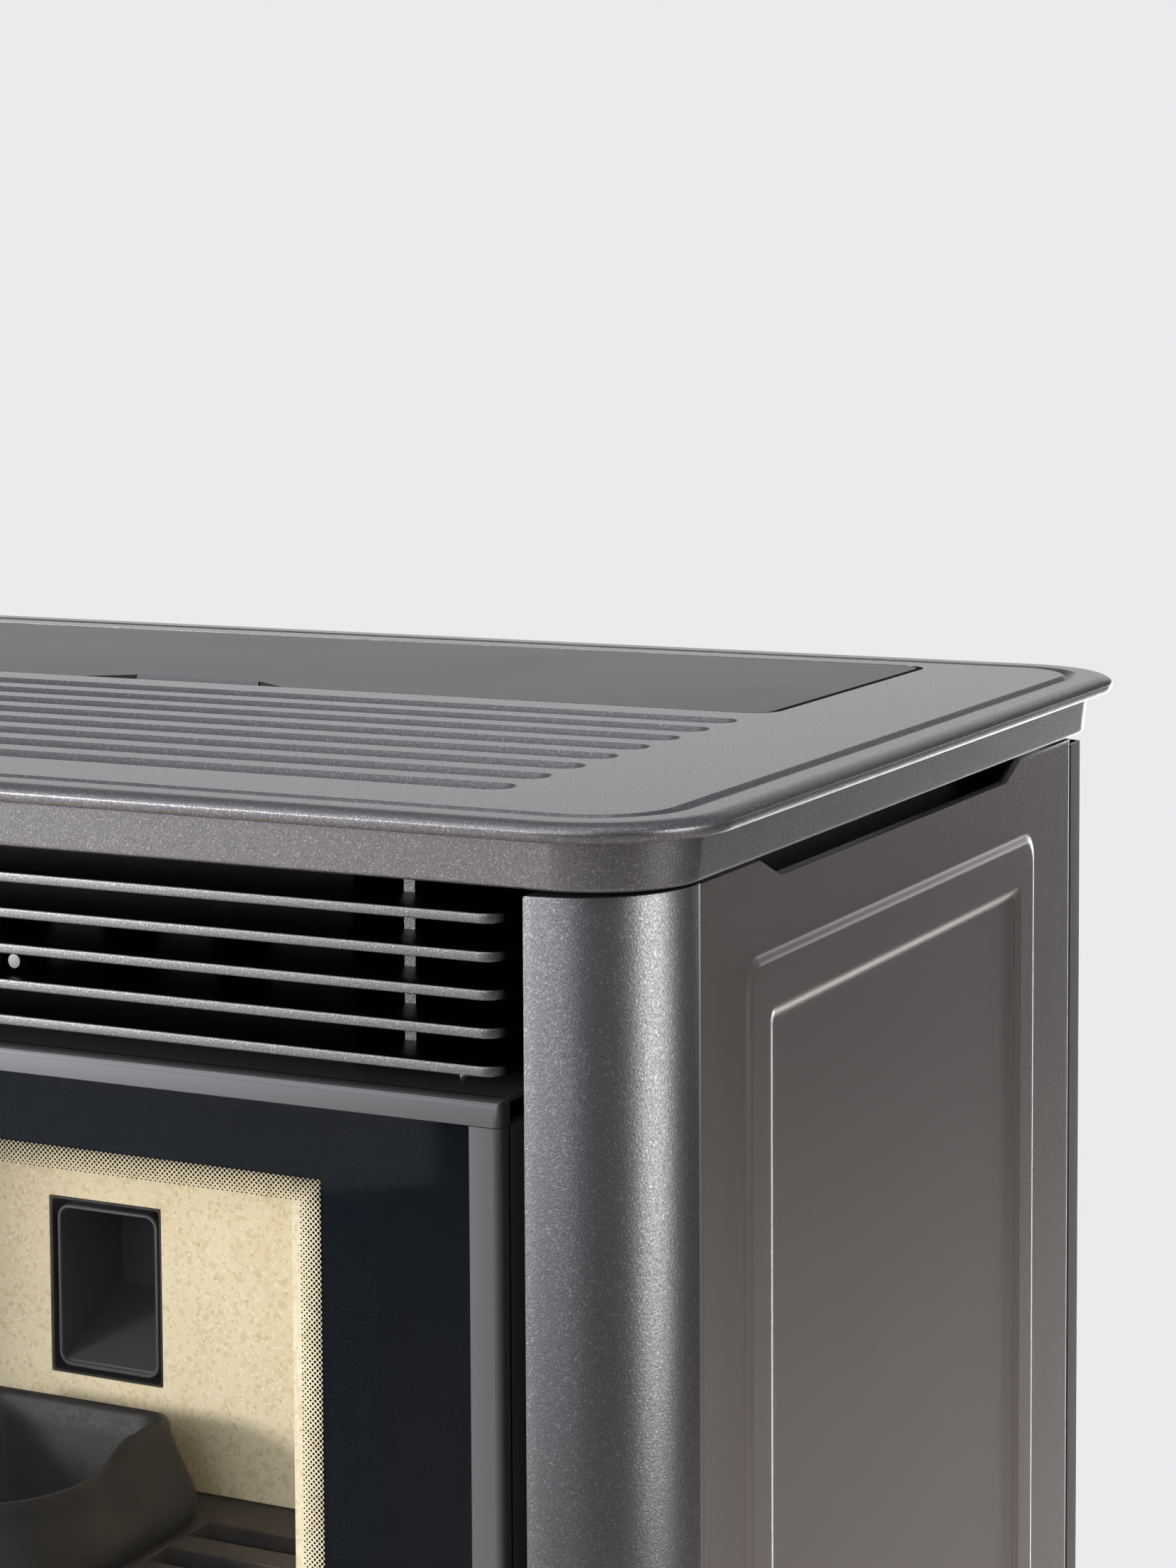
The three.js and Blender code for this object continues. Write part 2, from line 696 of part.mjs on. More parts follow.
function buildLouvre() {
  const r = bladeCornerRadius;
  const plan = new THREE.Shape();
  plan.moveTo(-bladeHalfWidth, bladeRearY);
  plan.lineTo(-bladeHalfWidth, bladeFrontY + r);
  plan.absarc(-bladeHalfWidth + r, bladeFrontY + r, r, Math.PI, 1.5 * Math.PI);
  plan.absarc(bladeHalfWidth - r, bladeFrontY + r, r, 1.5 * Math.PI, 2 * Math.PI);
  plan.lineTo(bladeHalfWidth, bladeRearY);
  const lastZ = stoveHeight - bladeFirstDrop - (bladeCount - 1) * bladePitch;
  const post = box(postX - postWidth / 2, postX + postWidth / 2, postFrontY, postFrontY + postDepth,
    lastZ - bladeThickness / 2, undersideZ - seat);
  let grille = post.add(mirrored(post));
  for (let i = 0; i < bladeCount; i += 1) {
    const top = stoveHeight - bladeFirstDrop - i * bladePitch;
    grille = grille.add(prism('z', plan, top - bladeThickness, top, 3));
  }
  add('louvre_grille', grille, 'castPaint');
}

function buildLid() {
  const [half, front, back] = [lidHalfWidth, lidFrontY, lidFrontY + notchDepth];
  const top = stoveHeight;
  const notch = prism('z', polygon([-notchHalfFront, front - past], [notchHalfFront, front - past],
    [notchHalfFront, front], [notchHalfBack, back], [-notchHalfBack, back], [-notchHalfFront, front]),
  top - lidSkirtHeight - past, top + past);
  const wide = lidSkirtWall;
  const notchWide = prism('z', polygon(
    [-notchHalfFront - wide, front - past], [notchHalfFront + wide, front - past],
    [notchHalfFront + wide, front + wide], [notchHalfBack, back + wide], [-notchHalfBack, back + wide],
    [-notchHalfFront - wide, front + wide]), top - lidSkirtHeight - past, top + past);
  const r = lidCornerRadius;
  const outer = prism('z', roundedRect(-half, half, front, lidRearY, r), top - lidSkirtHeight, top, 4);
  const hollow = prism('z', roundedRect(-half + wide, half - wide, front + wide, lidRearY - wide, r - wide),
    top - lidSkirtHeight - past, top - lidThickness, 4);
  const tab = prism('x', polygon([back + 0.5, top - lidThickness], [back + 0.5, top], [back - 0.5, top],
    [back - tabSlope, top - tabHeight], [back - tabSlope + 1.6, top - tabHeight - 1],
  ), -notchHalfBack, notchHalfBack);
  let lid = joined(cut(outer, notch, cut(hollow, notchWide)), tab);
  const earRoom = lidEarWidth + 2 * lidLugWidth + 8;
  for (const side of [-1, 1]) {
    const middle = side * (lidHingeX + 4);
    lid = cut(lid, box(middle - earRoom / 2, middle + earRoom / 2, lidRearY - wide - 1, lidRearY + past,
      top - lidSkirtHeight - past, top - lidThickness));
    const lug = box(side * lidHingeX - lidLugWidth / 2, side * lidHingeX + lidLugWidth / 2, lidAxisY - 5,
      lidAxisY + 5, lidAxisZ - 5, top - lidThickness + 0.5);
    lid = lid.add(lug);
    lid = cut(lid, rod('x', lidPinRadius + running, middle - 40, middle + 40, [lidAxisY, lidAxisZ], 16));
  }
  add('hopper_lid', lid, 'lidPaint');

  const pinStart = lidHingeX - lidLugWidth / 2 - 2;
  const earX = lidHingeX + lidLugWidth / 2 + slideGap;
  const pin = rod('x', lidPinRadius, pinStart, earX + 1, [lidAxisY, lidAxisZ]);
  const ear = box(earX, earX + lidEarWidth, lidAxisY - 4, lidAxisY + 3.5, flangeZ + seat, lidAxisZ);
  const eye = rod('x', 3.9, earX, earX + lidEarWidth, [lidAxisY, lidAxisZ]);
  const foot = box(earX, earX + 14, lidAxisY - 4, lidAxisY + 3.5, flangeZ + seat, flangeZ + seat + sheet);
  addPair('lid_hinge', joined(ear, eye, pin, foot), 'zincSteel');

  const seal = (grow) => {
    const w = sealWidth / 2;
    const inset = hopperWall / 2;
    return roundedRect(-hopperHalfWidth + inset - w * grow, hopperHalfWidth - inset + w * grow,
      hopperFrontY + inset - w * grow, hopperRearY - inset + w * grow, 6);
  };
  const shape = seal(1);
  shape.holes.push(seal(-1));
  add('lid_gasket', prism('z', shape, top - fieldThickness, top - lidThickness - seat, 2), 'rope');
}

// The room that the leaning auger tube needs
function augerClearance() {
  const clear = new THREE.CylinderGeometry(augerClearRadius, augerClearRadius, augerLength + augerRadius, 24);
  clear.rotateX(Math.PI / 2).translate(0, 0, augerLength / 2);
  clear.rotateX(augerLean).translate(augerFoot.x, augerFoot.y, augerFoot.z);
  return solidOf(clear);
}

function buildHopper() {
  const t = hopperWall;
  const lean = (s, n) => new THREE.Vector3(0, n, s).applyAxisAngle(new THREE.Vector3(1, 0, 0), augerLean)
    .add(augerFoot);
  const throat = (half, low, high) => {
    const n = augerRadius - 4;
    const [front, rear] = [lean(high, n), lean(low, n)];
    const corners = [[-half, front], [half, front], [half, rear], [-half, rear]];
    return corners.map(([x, p]) => new THREE.Vector3(x, p.y, p.z));
  };
  const waistY = hopperFrontY + (hopperKneeZ - hopperWaistZ) * Math.tan(augerLean) * 0.95;
  const rimZ = stoveHeight - fieldThickness - seat;
  const [w, f, r] = [hopperHalfWidth, hopperFrontY, hopperRearY];
  const flange = chassisHalfWidth - chassisSheet - seat;
  const skin = [
    rectRing(w, f, r, rimZ),
    rectRing(w, f, r, flangeZ),
    rectRing(flange, flangeFrontY, flangeRearY, flangeZ),
    rectRing(flange, flangeFrontY, flangeRearY, flangeZ - t),
    rectRing(w, f, r, flangeZ - t),
    rectRing(w, f, r, hopperKneeZ),
    rectRing(hopperWaistHalf, waistY, r, hopperWaistZ),
    throat(throatHalf, throatLow, throatHigh),
    throat(throatHalf - t, throatLow + t, throatHigh - t),
    rectRing(hopperWaistHalf - t, waistY + t, r - t, hopperWaistZ),
    rectRing(w - t, f + t, r - t, hopperKneeZ),
    rectRing(w - t, f + t, r - t, rimZ),
  ];
  add('hopper', cut(loft(skin, true), augerClearance()), 'zincSteel');
}

// The auger group's own Z runs up the auger
function buildAuger() {
  const auger = new THREE.Group();
  auger.position.copy(augerFoot);
  auger.rotation.x = augerLean;
  stove.add(auger);
  const r = augerRadius;
  const bore = r - augerWall;
  let tube = rod('z', r, 0, augerLength, [0, 0], 20);
  tube = cut(tube, rod('z', bore, augerWall, augerLength - augerWall, [0, 0], 20));
  tube = cut(tube, box(-throatHalf + 3, throatHalf - 3, 15, r + past, throatLow + 4, throatHigh - 4));
  tube = cut(tube, box(-chuteHalfWidth + 8, chuteHalfWidth - 8, -r - past, -15, outletLow, outletHigh));
  const journal = screwShaftRadius - 2;
  tube = cut(tube, rod('z', journal + running, -past, augerWall + past, [0, 0], 16));
  add('auger_tube', tube, 'zincSteel', auger);

  const start = augerWall + 2;
  const turns = (augerLength - 2 * augerWall - 6) / flightPitch;
  const steps = Math.round(turns * 10);
  const sections = [];
  for (let i = 0; i <= steps; i += 1) {
    const angle = i / steps * turns * 2 * Math.PI;
    const z = start + i / steps * (turns * flightPitch - flightThickness);
    const at = (radius, rise) => new THREE.Vector3(radius * Math.cos(angle), radius * Math.sin(angle), z + rise);
    const root = screwShaftRadius - 2;
    sections.push([at(root, 0), at(flightRadius, 0),
      at(flightRadius, flightThickness), at(root, flightThickness)]);
  }
  const shaft = rod('z', screwShaftRadius, start, augerLength - augerWall - slideGap, [0, 0], 12);
  const tail = rod('z', journal, -3 * augerWall, start + 1, [0, 0], 12);
  add('auger_screw', joined(loft(sections), shaft, tail), 'zincSteel', auger);

  const half = augerMotorSize / 2;
  const motor = box(-half, half, -half + 6, half - 6, -augerMotorLength, -seat);
  const socket = rod('z', journal + running, -3 * augerWall - 1, past, [0, 0], 16);
  add('auger_motor', cut(motor, socket), 'blackSteel', auger);
}

function buildChute() {
  const t = chuteWall;
  const exitY = backFaceY + chuteRecess;
  const [low, high, w] = [chuteBottomZ, chuteTopZ, chuteHalfWidth];
  const kneeY = shellRearY + 1;
  const backY = kneeY + chuteDuctDepth;
  const topZ = high + chuteDuctHeight;
  const lipZ = topZ - chuteLipDrop;
  const outer = polygon([exitY, low - t], [kneeY + t, low - t], [backY, high + chuteShoulder],
    [backY - chuteDuctLean, topZ], [kneeY + t, lipZ], [kneeY, high + t], [exitY, high + t]);
  const inner = polygon([exitY - past, low], [kneeY, low], [backY + t, high + chuteShoulder + 2 * t],
    [backY + t, lipZ], [kneeY + 2 * t, lipZ - chuteShoulder], [kneeY + t, high], [exitY - past, high]);
  const chute = cut(prism('x', outer, -w - t, w + t), prism('x', inner, -w, w), augerClearance());
  add('pellet_chute', chute, 'blackSteel');
}

function buildFirebox() {
  const top = stoveHeight - frontPlateTopDrop;
  let plate = box(-columnInnerX + slideGap, columnInnerX - slideGap, frontPlateY, frontPlateBackY,
    frontPlateBottomZ, top);
  const mouth = roundedRect(-mouthHalfWidth, mouthHalfWidth, mouthBottomZ, stoveHeight - mouthTopDrop, 12);
  const slotHalf = camWidth / 2 + slotClearance;
  const slotReach = camLength / 2 + slotClearance;
  const [y0, y1] = [frontPlateY - past, frontPlateBackY + past];
  const slot = box(knobX - slotHalf, knobX + slotHalf, y0, y1, knobZ - slotReach, knobZ + slotReach);
  plate = cut(plate, prism('y', mouth, y0, y1, 3), slot);
  add('firebox_front_plate', plate, 'blackSteel');

  const [w, t] = [shellHalfWidth, shellWall];
  const shellFrontY = frontPlateBackY + seat;
  let shell = box(-w, w, shellFrontY, shellRearY, shellBottomZ, shellTopZ);
  shell = cut(shell, box(-w + t, w - t, shellFrontY - past, shellRearY - t, shellBottomZ - past, shellTopZ - t));
  const v = shellVentInset;
  const vent = box(-w + v, w - v, exchangerFrontY + 12, shellRearY - v, shellTopZ - past, shellTopZ + past);
  shell = cut(shell, vent);
  const hole = (half, low, high) => box(-half, half, shellRearY - t - 1, shellRearY + past, low, high);
  const round = chuteWall + 1;
  shell = cut(shell, hole(chuteHalfWidth + round, chuteBottomZ - round, chuteTopZ + round));
  const port = (radius, x, z) => rod('y', radius, shellRearY - t - 1, shellRearY + past, [x, z], 18);
  shell = cut(shell, port(smokeEyeRadius + smokePortGrow, smokeFanX, smokeFanZ - smokeEyeDrop));
  shell = cut(shell, port(intakeRadius - intakeWall, intakeX, intakeZ));
  shell = cut(shell, port(igniterRadius + 1, 0, potFloorZ + igniterRise));
  add('firebox_shell', shell, 'blackSteel');

  const low = grateTopZ + seat;
  const lining = liningInnerX;
  let back = box(-lining, lining, backFaceY, shellRearY - t - seat, low, shellTopZ - t - 1);
  back = cut(back, box(-chuteHalfWidth, chuteHalfWidth, backFaceY - 1, shellRearY, chuteBottomZ, chuteTopZ));
  const pocket = chuteWall + slideGap;
  const wide = chuteHalfWidth + pocket;
  back = cut(back, box(-wide, wide, backFaceY + chuteRecess - seat, shellRearY,
    chuteBottomZ - pocket, chuteTopZ + pocket));
  add('vermiculite_back', back, 'vermiculite');
  addPair('vermiculite_side', box(lining - liningThickness, lining, shellFrontY, backFaceY - seat, low,
    liningSideTopZ), 'vermiculite');
  add('baffle_plate', box(-lining, lining, baffleFrontY, backFaceY - seat, liningSideTopZ + seat,
    liningSideTopZ + seat + baffleThickness), 'vermiculite');

  const grateBottomZ = grateTopZ - grateThickness;
  let grate = box(-lining, lining, shellFrontY, shellRearY - t - seat, grateBottomZ, grateTopZ);
  for (let i = 0; i < slotCount; i += 1) {
    const y = slotFirstY - i * slotPitch;
    for (const side of [-1, 1]) {
      const ends = [side * slotStartX, side * slotEndX].sort((a, b) => a - b);
      const half = slotWidth / 2;
      grate = cut(grate, box(ends[0], ends[1], y - half, y + half, grateBottomZ - past, grateTopZ + past));
    }
  }
  const loose = slotClearance / 2 - potNeck;
  const bowlHole = [potRing(loose, grateBottomZ - past), potRing(loose, grateTopZ + past)];
  add('grate_plate', cut(grate, loft(bowlHole)), 'castIron');
}

// Plan of the burn pot: square at the back, half-round at the front, grown by an offset
function potRing(offset, z) {
  const half = potHalfWidth + offset;
  const corner = 10 + Math.max(offset, 0);
  const backY = potBackY + offset * 0.7;
  const points = [];
  for (let i = 0; i <= 3; i += 1) {
    const angle = i / 3 * Math.PI / 2;
    points.push([half - corner + corner * Math.cos(angle), backY - corner + corner * Math.sin(angle)]);
  }
  for (let i = 3; i >= 0; i -= 1) {
    const angle = i / 3 * Math.PI / 2;
    points.push([-half + corner - corner * Math.cos(angle), backY - corner + corner * Math.sin(angle)]);
  }
  for (let i = 0; i <= 12; i += 1) {
    const angle = Math.PI + i / 12 * Math.PI;
    points.push([half * Math.cos(angle), potCentreY + half * Math.sin(angle)]);
  }
  return points.map(([x, y]) => new THREE.Vector3(x, y, z));
}

function buildBurnPot() {
  const skin = [
    potRing(-potNeck - 6, potBottomZ),
    potRing(-potNeck, grateTopZ + seat),
    potRing(potBulge, grateTopZ + seat),
    potRing(potBulge, grateTopZ + 8),
    potRing(potBulge * 0.6, grateTopZ + 22),
    potRing(1, potRimZ - 8),
    potRing(0, potRimZ),
    potRing(-potWall, potRimZ),
    potRing(-potWall - 6, potRimZ - 30),
    potRing(-potNeck - potWall - 12, potFloorZ),
  ];
  let pot = loft(skin);
  for (let i = -1; i <= 1; i += 1) {
    for (let j = -1; j <= 1; j += 1) {
      const at = [i * potHolePitch, potCentreY + potHoleShift + j * potHolePitch];
      pot = cut(pot, rod('z', potHoleRadius, potBottomZ - past, potFloorZ + past, at, 6));
    }
  }
  add('burn_pot', pot, 'castIron');
  const tip = potBackY + igniterFrontGap;
  const igniterAxis = [0, potFloorZ + igniterRise];
  add('igniter', rod('y', igniterRadius, tip, shellRearY + igniterReach, igniterAxis, 12), 'zincSteel');
}

function buildExchanger() {
  const [w, t, top] = [exchangerHalfWidth, exchangerWall, exchangerZ + exchangerHeight];
  let body = box(-w, w, exchangerFrontY, exchangerRearY, exchangerZ, top);
  body = cut(body, box(-w + t, w - t, exchangerFrontY + t, exchangerRearY - t, exchangerZ - past, top - t));
  const scraperHalf = w - t - 6;
  let blade = box(-scraperHalf, scraperHalf, scraperY, scraperY + scraperSheet, tubeZ - scraperHeight / 2,
    tubeZ + scraperHeight / 2);
  for (let i = 0; i < tubeCount; i += 1) {
    const at = [(i - (tubeCount - 1) / 2) * tubePitch, tubeZ];
    body = body.add(rod('y', tubeRadius, exchangerFrontY, exchangerRearY, at, 10));
    body = cut(body, rod('y', tubeRadius - tubeWall, exchangerFrontY - past, exchangerRearY + past, at, 10));
    blade = cut(blade, rod('y', tubeRadius + 1.2, scraperY - past, scraperY + scraperSheet + past, at, 12));
  }
  const rodZ = stoveHeight - rodDrop;
  for (const x of [-rodX, rodX]) {
    const through = [exchangerFrontY - past, exchangerFrontY + t + past];
    body = cut(body, rod('y', rodRadius + slideGap, ...through, [x, rodZ]));
    blade = blade.add(rod('y', rodRadius, rodTipY, scraperY + 1, [x, rodZ]));
  }
  add('heat_exchanger', body, 'blackSteel');
  add('tube_scraper', blade, 'zincSteel');
}

// Smoke fan: scroll housing on the firebox's rear wall, bladed wheel and motor
function buildSmokeFan() {
  const y0 = shellRearY + seat;
  const y1 = y0 + smokeFanDepth;
  const bore = fanShaftRadius + running;
  const right = smokeFanX + smokeFanRadius;
  const left = right - spoutWidth;
  const t = fanSheet;
  let housing = rod('y', smokeFanRadius, y0, y1, fanAxis, 24);
  housing = housing.add(box(left, right, y0, y1, spoutEndZ, smokeFanZ));
  housing = cut(housing, rod('y', smokeFanRadius - t, y0 + t, y1 - t, fanAxis, 24));
  housing = cut(housing, box(left + t, right - t, y0 + t, y1 - t, spoutEndZ - past, smokeFanZ - 2 * t));
  const eye = rod('y', smokeEyeRadius, y0 - past, y0 + past, [smokeFanX, smokeFanZ - smokeEyeDrop], 18);
  housing = cut(housing, eye, rod('y', bore, y1 - past, y1 + past, fanAxis, 16));
  add('exhaust_fan_housing', housing, 'blackSteel');

  const back = y1 - smokeWheelBack;
  const bladeBack = back - smokeBladeDepth / 2 - t + 0.5;
  let wheel = rod('y', smokeWheelRadius, back - t, back, fanAxis, 24);
  wheel = wheel.add(rod('y', fanShaftRadius, back - smokeBladeDepth + t, y1 + fanShaftReach, fanAxis, 12));
  for (let i = 0; i < smokeWheelBlades; i += 1) {
    const blade = new THREE.BoxGeometry(smokeWheelRadius - smokeBladeMargin, smokeBladeDepth, t);
    blade.translate(smokeWheelRadius / 2, bladeBack, 0).rotateY(i / smokeWheelBlades * 2 * Math.PI);
    wheel = wheel.add(solidOf(blade.translate(smokeFanX, 0, smokeFanZ)));
  }
  add('exhaust_fan_wheel', wheel, 'zincSteel');
  const motor = rod('y', smokeMotorRadius, y1 + seat, y1 + smokeMotorLength, fanAxis, 18);
  const shaftHole = rod('y', bore, y1 - past, y1 + fanShaftReach + 1, fanAxis, 16);
  add('exhaust_fan_motor', cut(motor, shaftHole), 'blackSteel');
}

// Room fan: long drum in a scroll housing on the chassis floor, with its motor at the right end
function buildRoomFan() {
  const half = roomDrumHalf;
  const fan = [roomFanY, roomFanZ];
  const [t, r] = [fanSheet, roomScrollRadius];
  const end = half + roomEndGap;
  const bore = fanShaftRadius + running;
  let drum = rod('x', roomDrumRadius, -half, -half + t, fan, 18);
  drum = drum.add(rod('x', roomDrumRadius, half - t, half, fan, 18));
  drum = drum.add(rod('x', fanShaftRadius, -end - 1, end + roomEndGap, fan, 10));
  for (let i = 0; i < roomBladeCount; i += 1) {
    const blade = new THREE.BoxGeometry(2 * half - t, roomBladeDepth, roomBladeSheet);
    blade.rotateX(roomBladeTilt).translate(0, roomDrumRadius - roomBladeDepth / 2 - 1, 0);
    blade.rotateX(i / roomBladeCount * 2 * Math.PI);
    drum = drum.add(solidOf(blade.translate(0, roomFanY, roomFanZ)));
  }
  add('room_fan_drum', drum, 'zincSteel');

  const floorZ = plinthTopZ + seat + chassisSheet + seat;
  const profile = (radius, low) => {
    const shape = new THREE.Shape();
    shape.moveTo(roomFanY + radius, low);
    shape.lineTo(roomFanY + radius, roomFanZ);
    shape.absarc(roomFanY, roomFanZ, radius, 0, Math.PI);
    shape.lineTo(roomFanY - radius, low);
    return shape;
  };
  const inner = end - t;
  let scroll = prism('x', profile(r, floorZ), -end, end);
  scroll = cut(scroll, prism('x', profile(r - t, floorZ - past), -inner, inner));
  const outlet = box(-inner, inner, roomFanY + r / 2, roomFanY + 2 * r, roomFanZ - roomOutletHeight,
    roomFanZ + roomOutletHeight);
  const inlet = box(-inner, inner, roomFanY - roomInletFront, roomFanY + roomInletBack, roomFanZ + r / 2,
    roomFanZ + 2 * r);
  scroll = cut(scroll, outlet, inlet, rod('x', bore, -end - past, end + past, fan, 16));
  add('room_fan_housing', scroll, 'zincSteel');
  const motor = rod('x', roomMotorRadius, end + seat, end + roomMotorLength, fan, 16);
  add('room_fan_motor', cut(motor, rod('x', bore, half, end + roomEndGap + 1, fan, 16)), 'blackSteel');
}

function buildPipes() {
  const mouthZ = spoutEndZ - seat;
  const centreY = shellRearY + seat + smokeFanDepth / 2;
  const startX = smokeFanX + smokeFanRadius - flueStartInset;
  const path = new THREE.CurvePath();
  const bend = new THREE.Vector3(startX, centreY, fluePipeZ + flueBendRise);
  path.add(new THREE.LineCurve3(new THREE.Vector3(startX, centreY, mouthZ), bend));
  const end = new THREE.Vector3(fluePipeX, centreY + flueBendReach, fluePipeZ);
  path.add(new THREE.QuadraticBezierCurve3(bend, new THREE.Vector3(startX, centreY, fluePipeZ), end));
  path.add(new THREE.LineCurve3(end, new THREE.Vector3(fluePipeX, pipeEndY, fluePipeZ)));
  const section = new THREE.Shape().absarc(0, 0, fluePipeRadius, 0, 2 * Math.PI);
  section.holes.push(new THREE.Path().absarc(0, 0, fluePipeRadius - fluePipeWall, 0, 2 * Math.PI, true));
  const flue = new THREE.ExtrudeGeometry(section, { extrudePath: path, steps: 8, curveSegments: 7 });
  const trim = box(startX - flueTrimHalf, startX + flueTrimHalf, centreY - flueTrimHalf, centreY + flueTrimHalf,
    mouthZ, mouthZ + flueTrimHeight);
  add('flue_spigot', cut(solidOf(flue), trim), 'blackSteel');
  const intake = pipe('y', intakeRadius, intakeWall, shellRearY + seat, pipeEndY, [intakeX, intakeZ]);
  add('air_intake_pipe', intake, 'zincSteel');
}

function buildElectrics() {
  const face = caseRearY + seat;
  const [x, z] = [inletX, inletZ];
  const [plateX, plateZ] = inletPlateHalf;
  const [bodyX, bodyZ] = inletBodyHalf;
  let inlet = box(x - plateX, x + plateX, face, face + inletPlate, z - plateZ, z + plateZ);
  inlet = inlet.add(box(x - bodyX, x + bodyX, face - inletBodyDepth, face + 1, z - bodyZ, z + bodyZ));
  const socket = box(x - socketHalfWidth, x + socketHalfWidth, face - socketDepth, face + past, z - socketLow,
    z - socketHigh);
  const bay = box(x - switchHalfWidth, x + switchHalfWidth, face - switchDepth, face + past, z + switchLow,
    z + switchHigh);
  add('mains_inlet', cut(inlet, socket, bay), 'blackPlastic');
  const low = z + switchLow + 1.5;
  const high = z + switchHigh - 1.5;
  const backY = face - switchDepth + past;
  const rocker = polygon([backY, low + 0.5], [face + 2.5, low], [face + 1.5, (low + high) / 2], [face + 4, high],
    [backY, high - 0.5]);
  add('rocker_switch', prism('x', rocker, x - switchHalfWidth + rockerGap, x + switchHalfWidth - rockerGap),
    'blackPlastic');
  const wall = chassisHalfWidth - chassisSheet - seat;
  add('control_box', box(wall - controlBoxWidth, wall, controlBoxFrontY, controlBoxRearY, controlBoxLowZ,
    controlBoxHighZ), 'blackPlastic');
}

function buildDoor() {
  const [w, y, lip] = [doorHalfWidth, doorFrontY, doorFrontY + lipThickness];
  const backY = y + frameDepth;
  const railBottom = doorTopZ - topRailHeight;
  const topRail = joined(box(-w, w, y, lip, railBottom, doorTopZ),
    box(-w, w, y, y + railReturnDepth, doorTopZ - sheet, doorTopZ));
  add('door_top_rail', topRail, 'satinPaint');
  const stileBottom = doorBottomZ + bottomRailHeight + seat;
  const bottomRail = joined(box(-w, w, y, lip, doorBottomZ, doorBottomZ + bottomRailHeight),
    box(-w, w, y, backY, doorBottomZ, doorBottomZ + innerFrameSheet));
  const spindleBore = rod('y', spindleRadius + running, y - past, lip + past, [knobX, knobZ], 16);
  add('door_bottom_rail', cut(bottomRail, spindleBore), 'satinPaint');
  const stile = joined(box(w - stileWidth, w, y, lip, stileBottom, railBottom - seat),
    box(w - frameWall, w, y, backY, stileBottom, railBottom - seat));
  add('door_right_stile', stile, 'satinPaint');

  const at = [doorPinX, doorPinY];
  let leftStile = mirrored(stile);
  for (const z of [knuckleLowerZ, knuckleUpperZ]) {
    const top = z + knuckleLength;
    const link = box(doorPinX, -w + 1, doorPinY - 2, doorPinY + 4, z, top);
    leftStile = joined(leftStile, rod('z', knuckleRadius, z, top, at, 16), link);
    leftStile = cut(leftStile, rod('z', doorPinRadius + running, z - past, top + past, at, 16));
  }
  add('door_left_stile', leftStile, 'satinPaint');
  for (const [name, z] of [['lower', knuckleLowerZ], ['upper', knuckleUpperZ]]) {
    const top = z - slideGap;
    const low = top - hingeBossLength;
    const boss = rod('z', knuckleRadius, low, top, at, 16);
    const arm = box(-columnInnerX + seat, doorPinX, doorPinY - 2.5, doorPinY + 2.5, low, top);
    const pin = rod('z', doorPinRadius, top - 1, z + knuckleLength - 3, at, 12);
    add(`door_hinge_pin_${name}`, joined(boss, arm, pin), 'zincSteel');
  }

  const glassHalf = w - stileWidth + glassEdge - 1;
  const glassTop = doorTopZ - sheet - slideGap;
  const glassBottom = knobZ + spindleRadius + 5;
  const glassBackY = glassFrontY + glassThickness;
  add('door_glass', box(-glassHalf, glassHalf, glassFrontY, glassBackY, glassBottom, glassTop), 'glass');
  const inside = w - frameWall - slideGap;
  let frame = box(-inside, inside, innerFrameY, innerFrameBackY, doorBottomZ + innerFrameSheet + seat,
    doorTopZ - sheet - seat);
  const [y0, y1] = [innerFrameY - past, innerFrameBackY + past];
  const windowTopZ = stoveHeight - windowTopDrop;
  const windowShape = roundedRect(-windowHalfWidth, windowHalfWidth, windowBottomZ, windowTopZ, 10);
  frame = cut(frame, prism('y', windowShape, y0, y1, 3));
  frame = cut(frame, rod('y', spindleRadius + running, y0, y1, [knobX, knobZ], 16));
  add('door_inner_frame', frame, 'blackSteel');

  const m = gasketOuterMargin;
  const ropeY = innerFrameBackY + seat;
  const rope = (inset) => roundedRect(-windowHalfWidth - m + inset, windowHalfWidth + m - inset,
    windowBottomZ - m + inset + 2, stoveHeight - windowTopDrop + m - inset, 14 - inset);
  const ropeShape = rope(0);
  ropeShape.holes.push(rope(gasketWidth));
  const ropeBackY = Math.min(ropeY + gasketDepth, frontPlateY - seat);
  add('door_gasket', prism('y', ropeShape, ropeY, ropeBackY, 3), 'rope');
}

function buildLatch() {
  const at = [knobX, knobZ];
  const knobBack = doorFrontY - slideGap;
  const camY = frontPlateBackY + seat;
  const faceY = knobBack - knobDisc;
  let knob = rod('y', knobRadius, faceY, knobBack, at, 20);
  const grip = box(knobX - knobGripHalf, knobX + knobGripHalf, faceY - knobGrip, faceY + 1,
    knobZ - knobRadius + 1, knobZ + knobRadius - 1);
  knob = cut(knob.add(grip), rod('y', spindleRadius + seat, knobBack - knobBoreDepth, knobBack + past, at, 16));
  add('latch_knob', knob, 'zincSteel');
  const spindle = rod('y', spindleRadius, knobBack - knobBoreDepth + slideGap, camY + 1, at, 12);
  const [halfCam, reach] = [camWidth / 2, camLength / 2];
  const cam = box(knobX - halfCam, knobX + halfCam, camY, camY + camThickness, knobZ - reach, knobZ + reach);
  add('latch_spindle', spindle.add(cam), 'zincSteel');
}

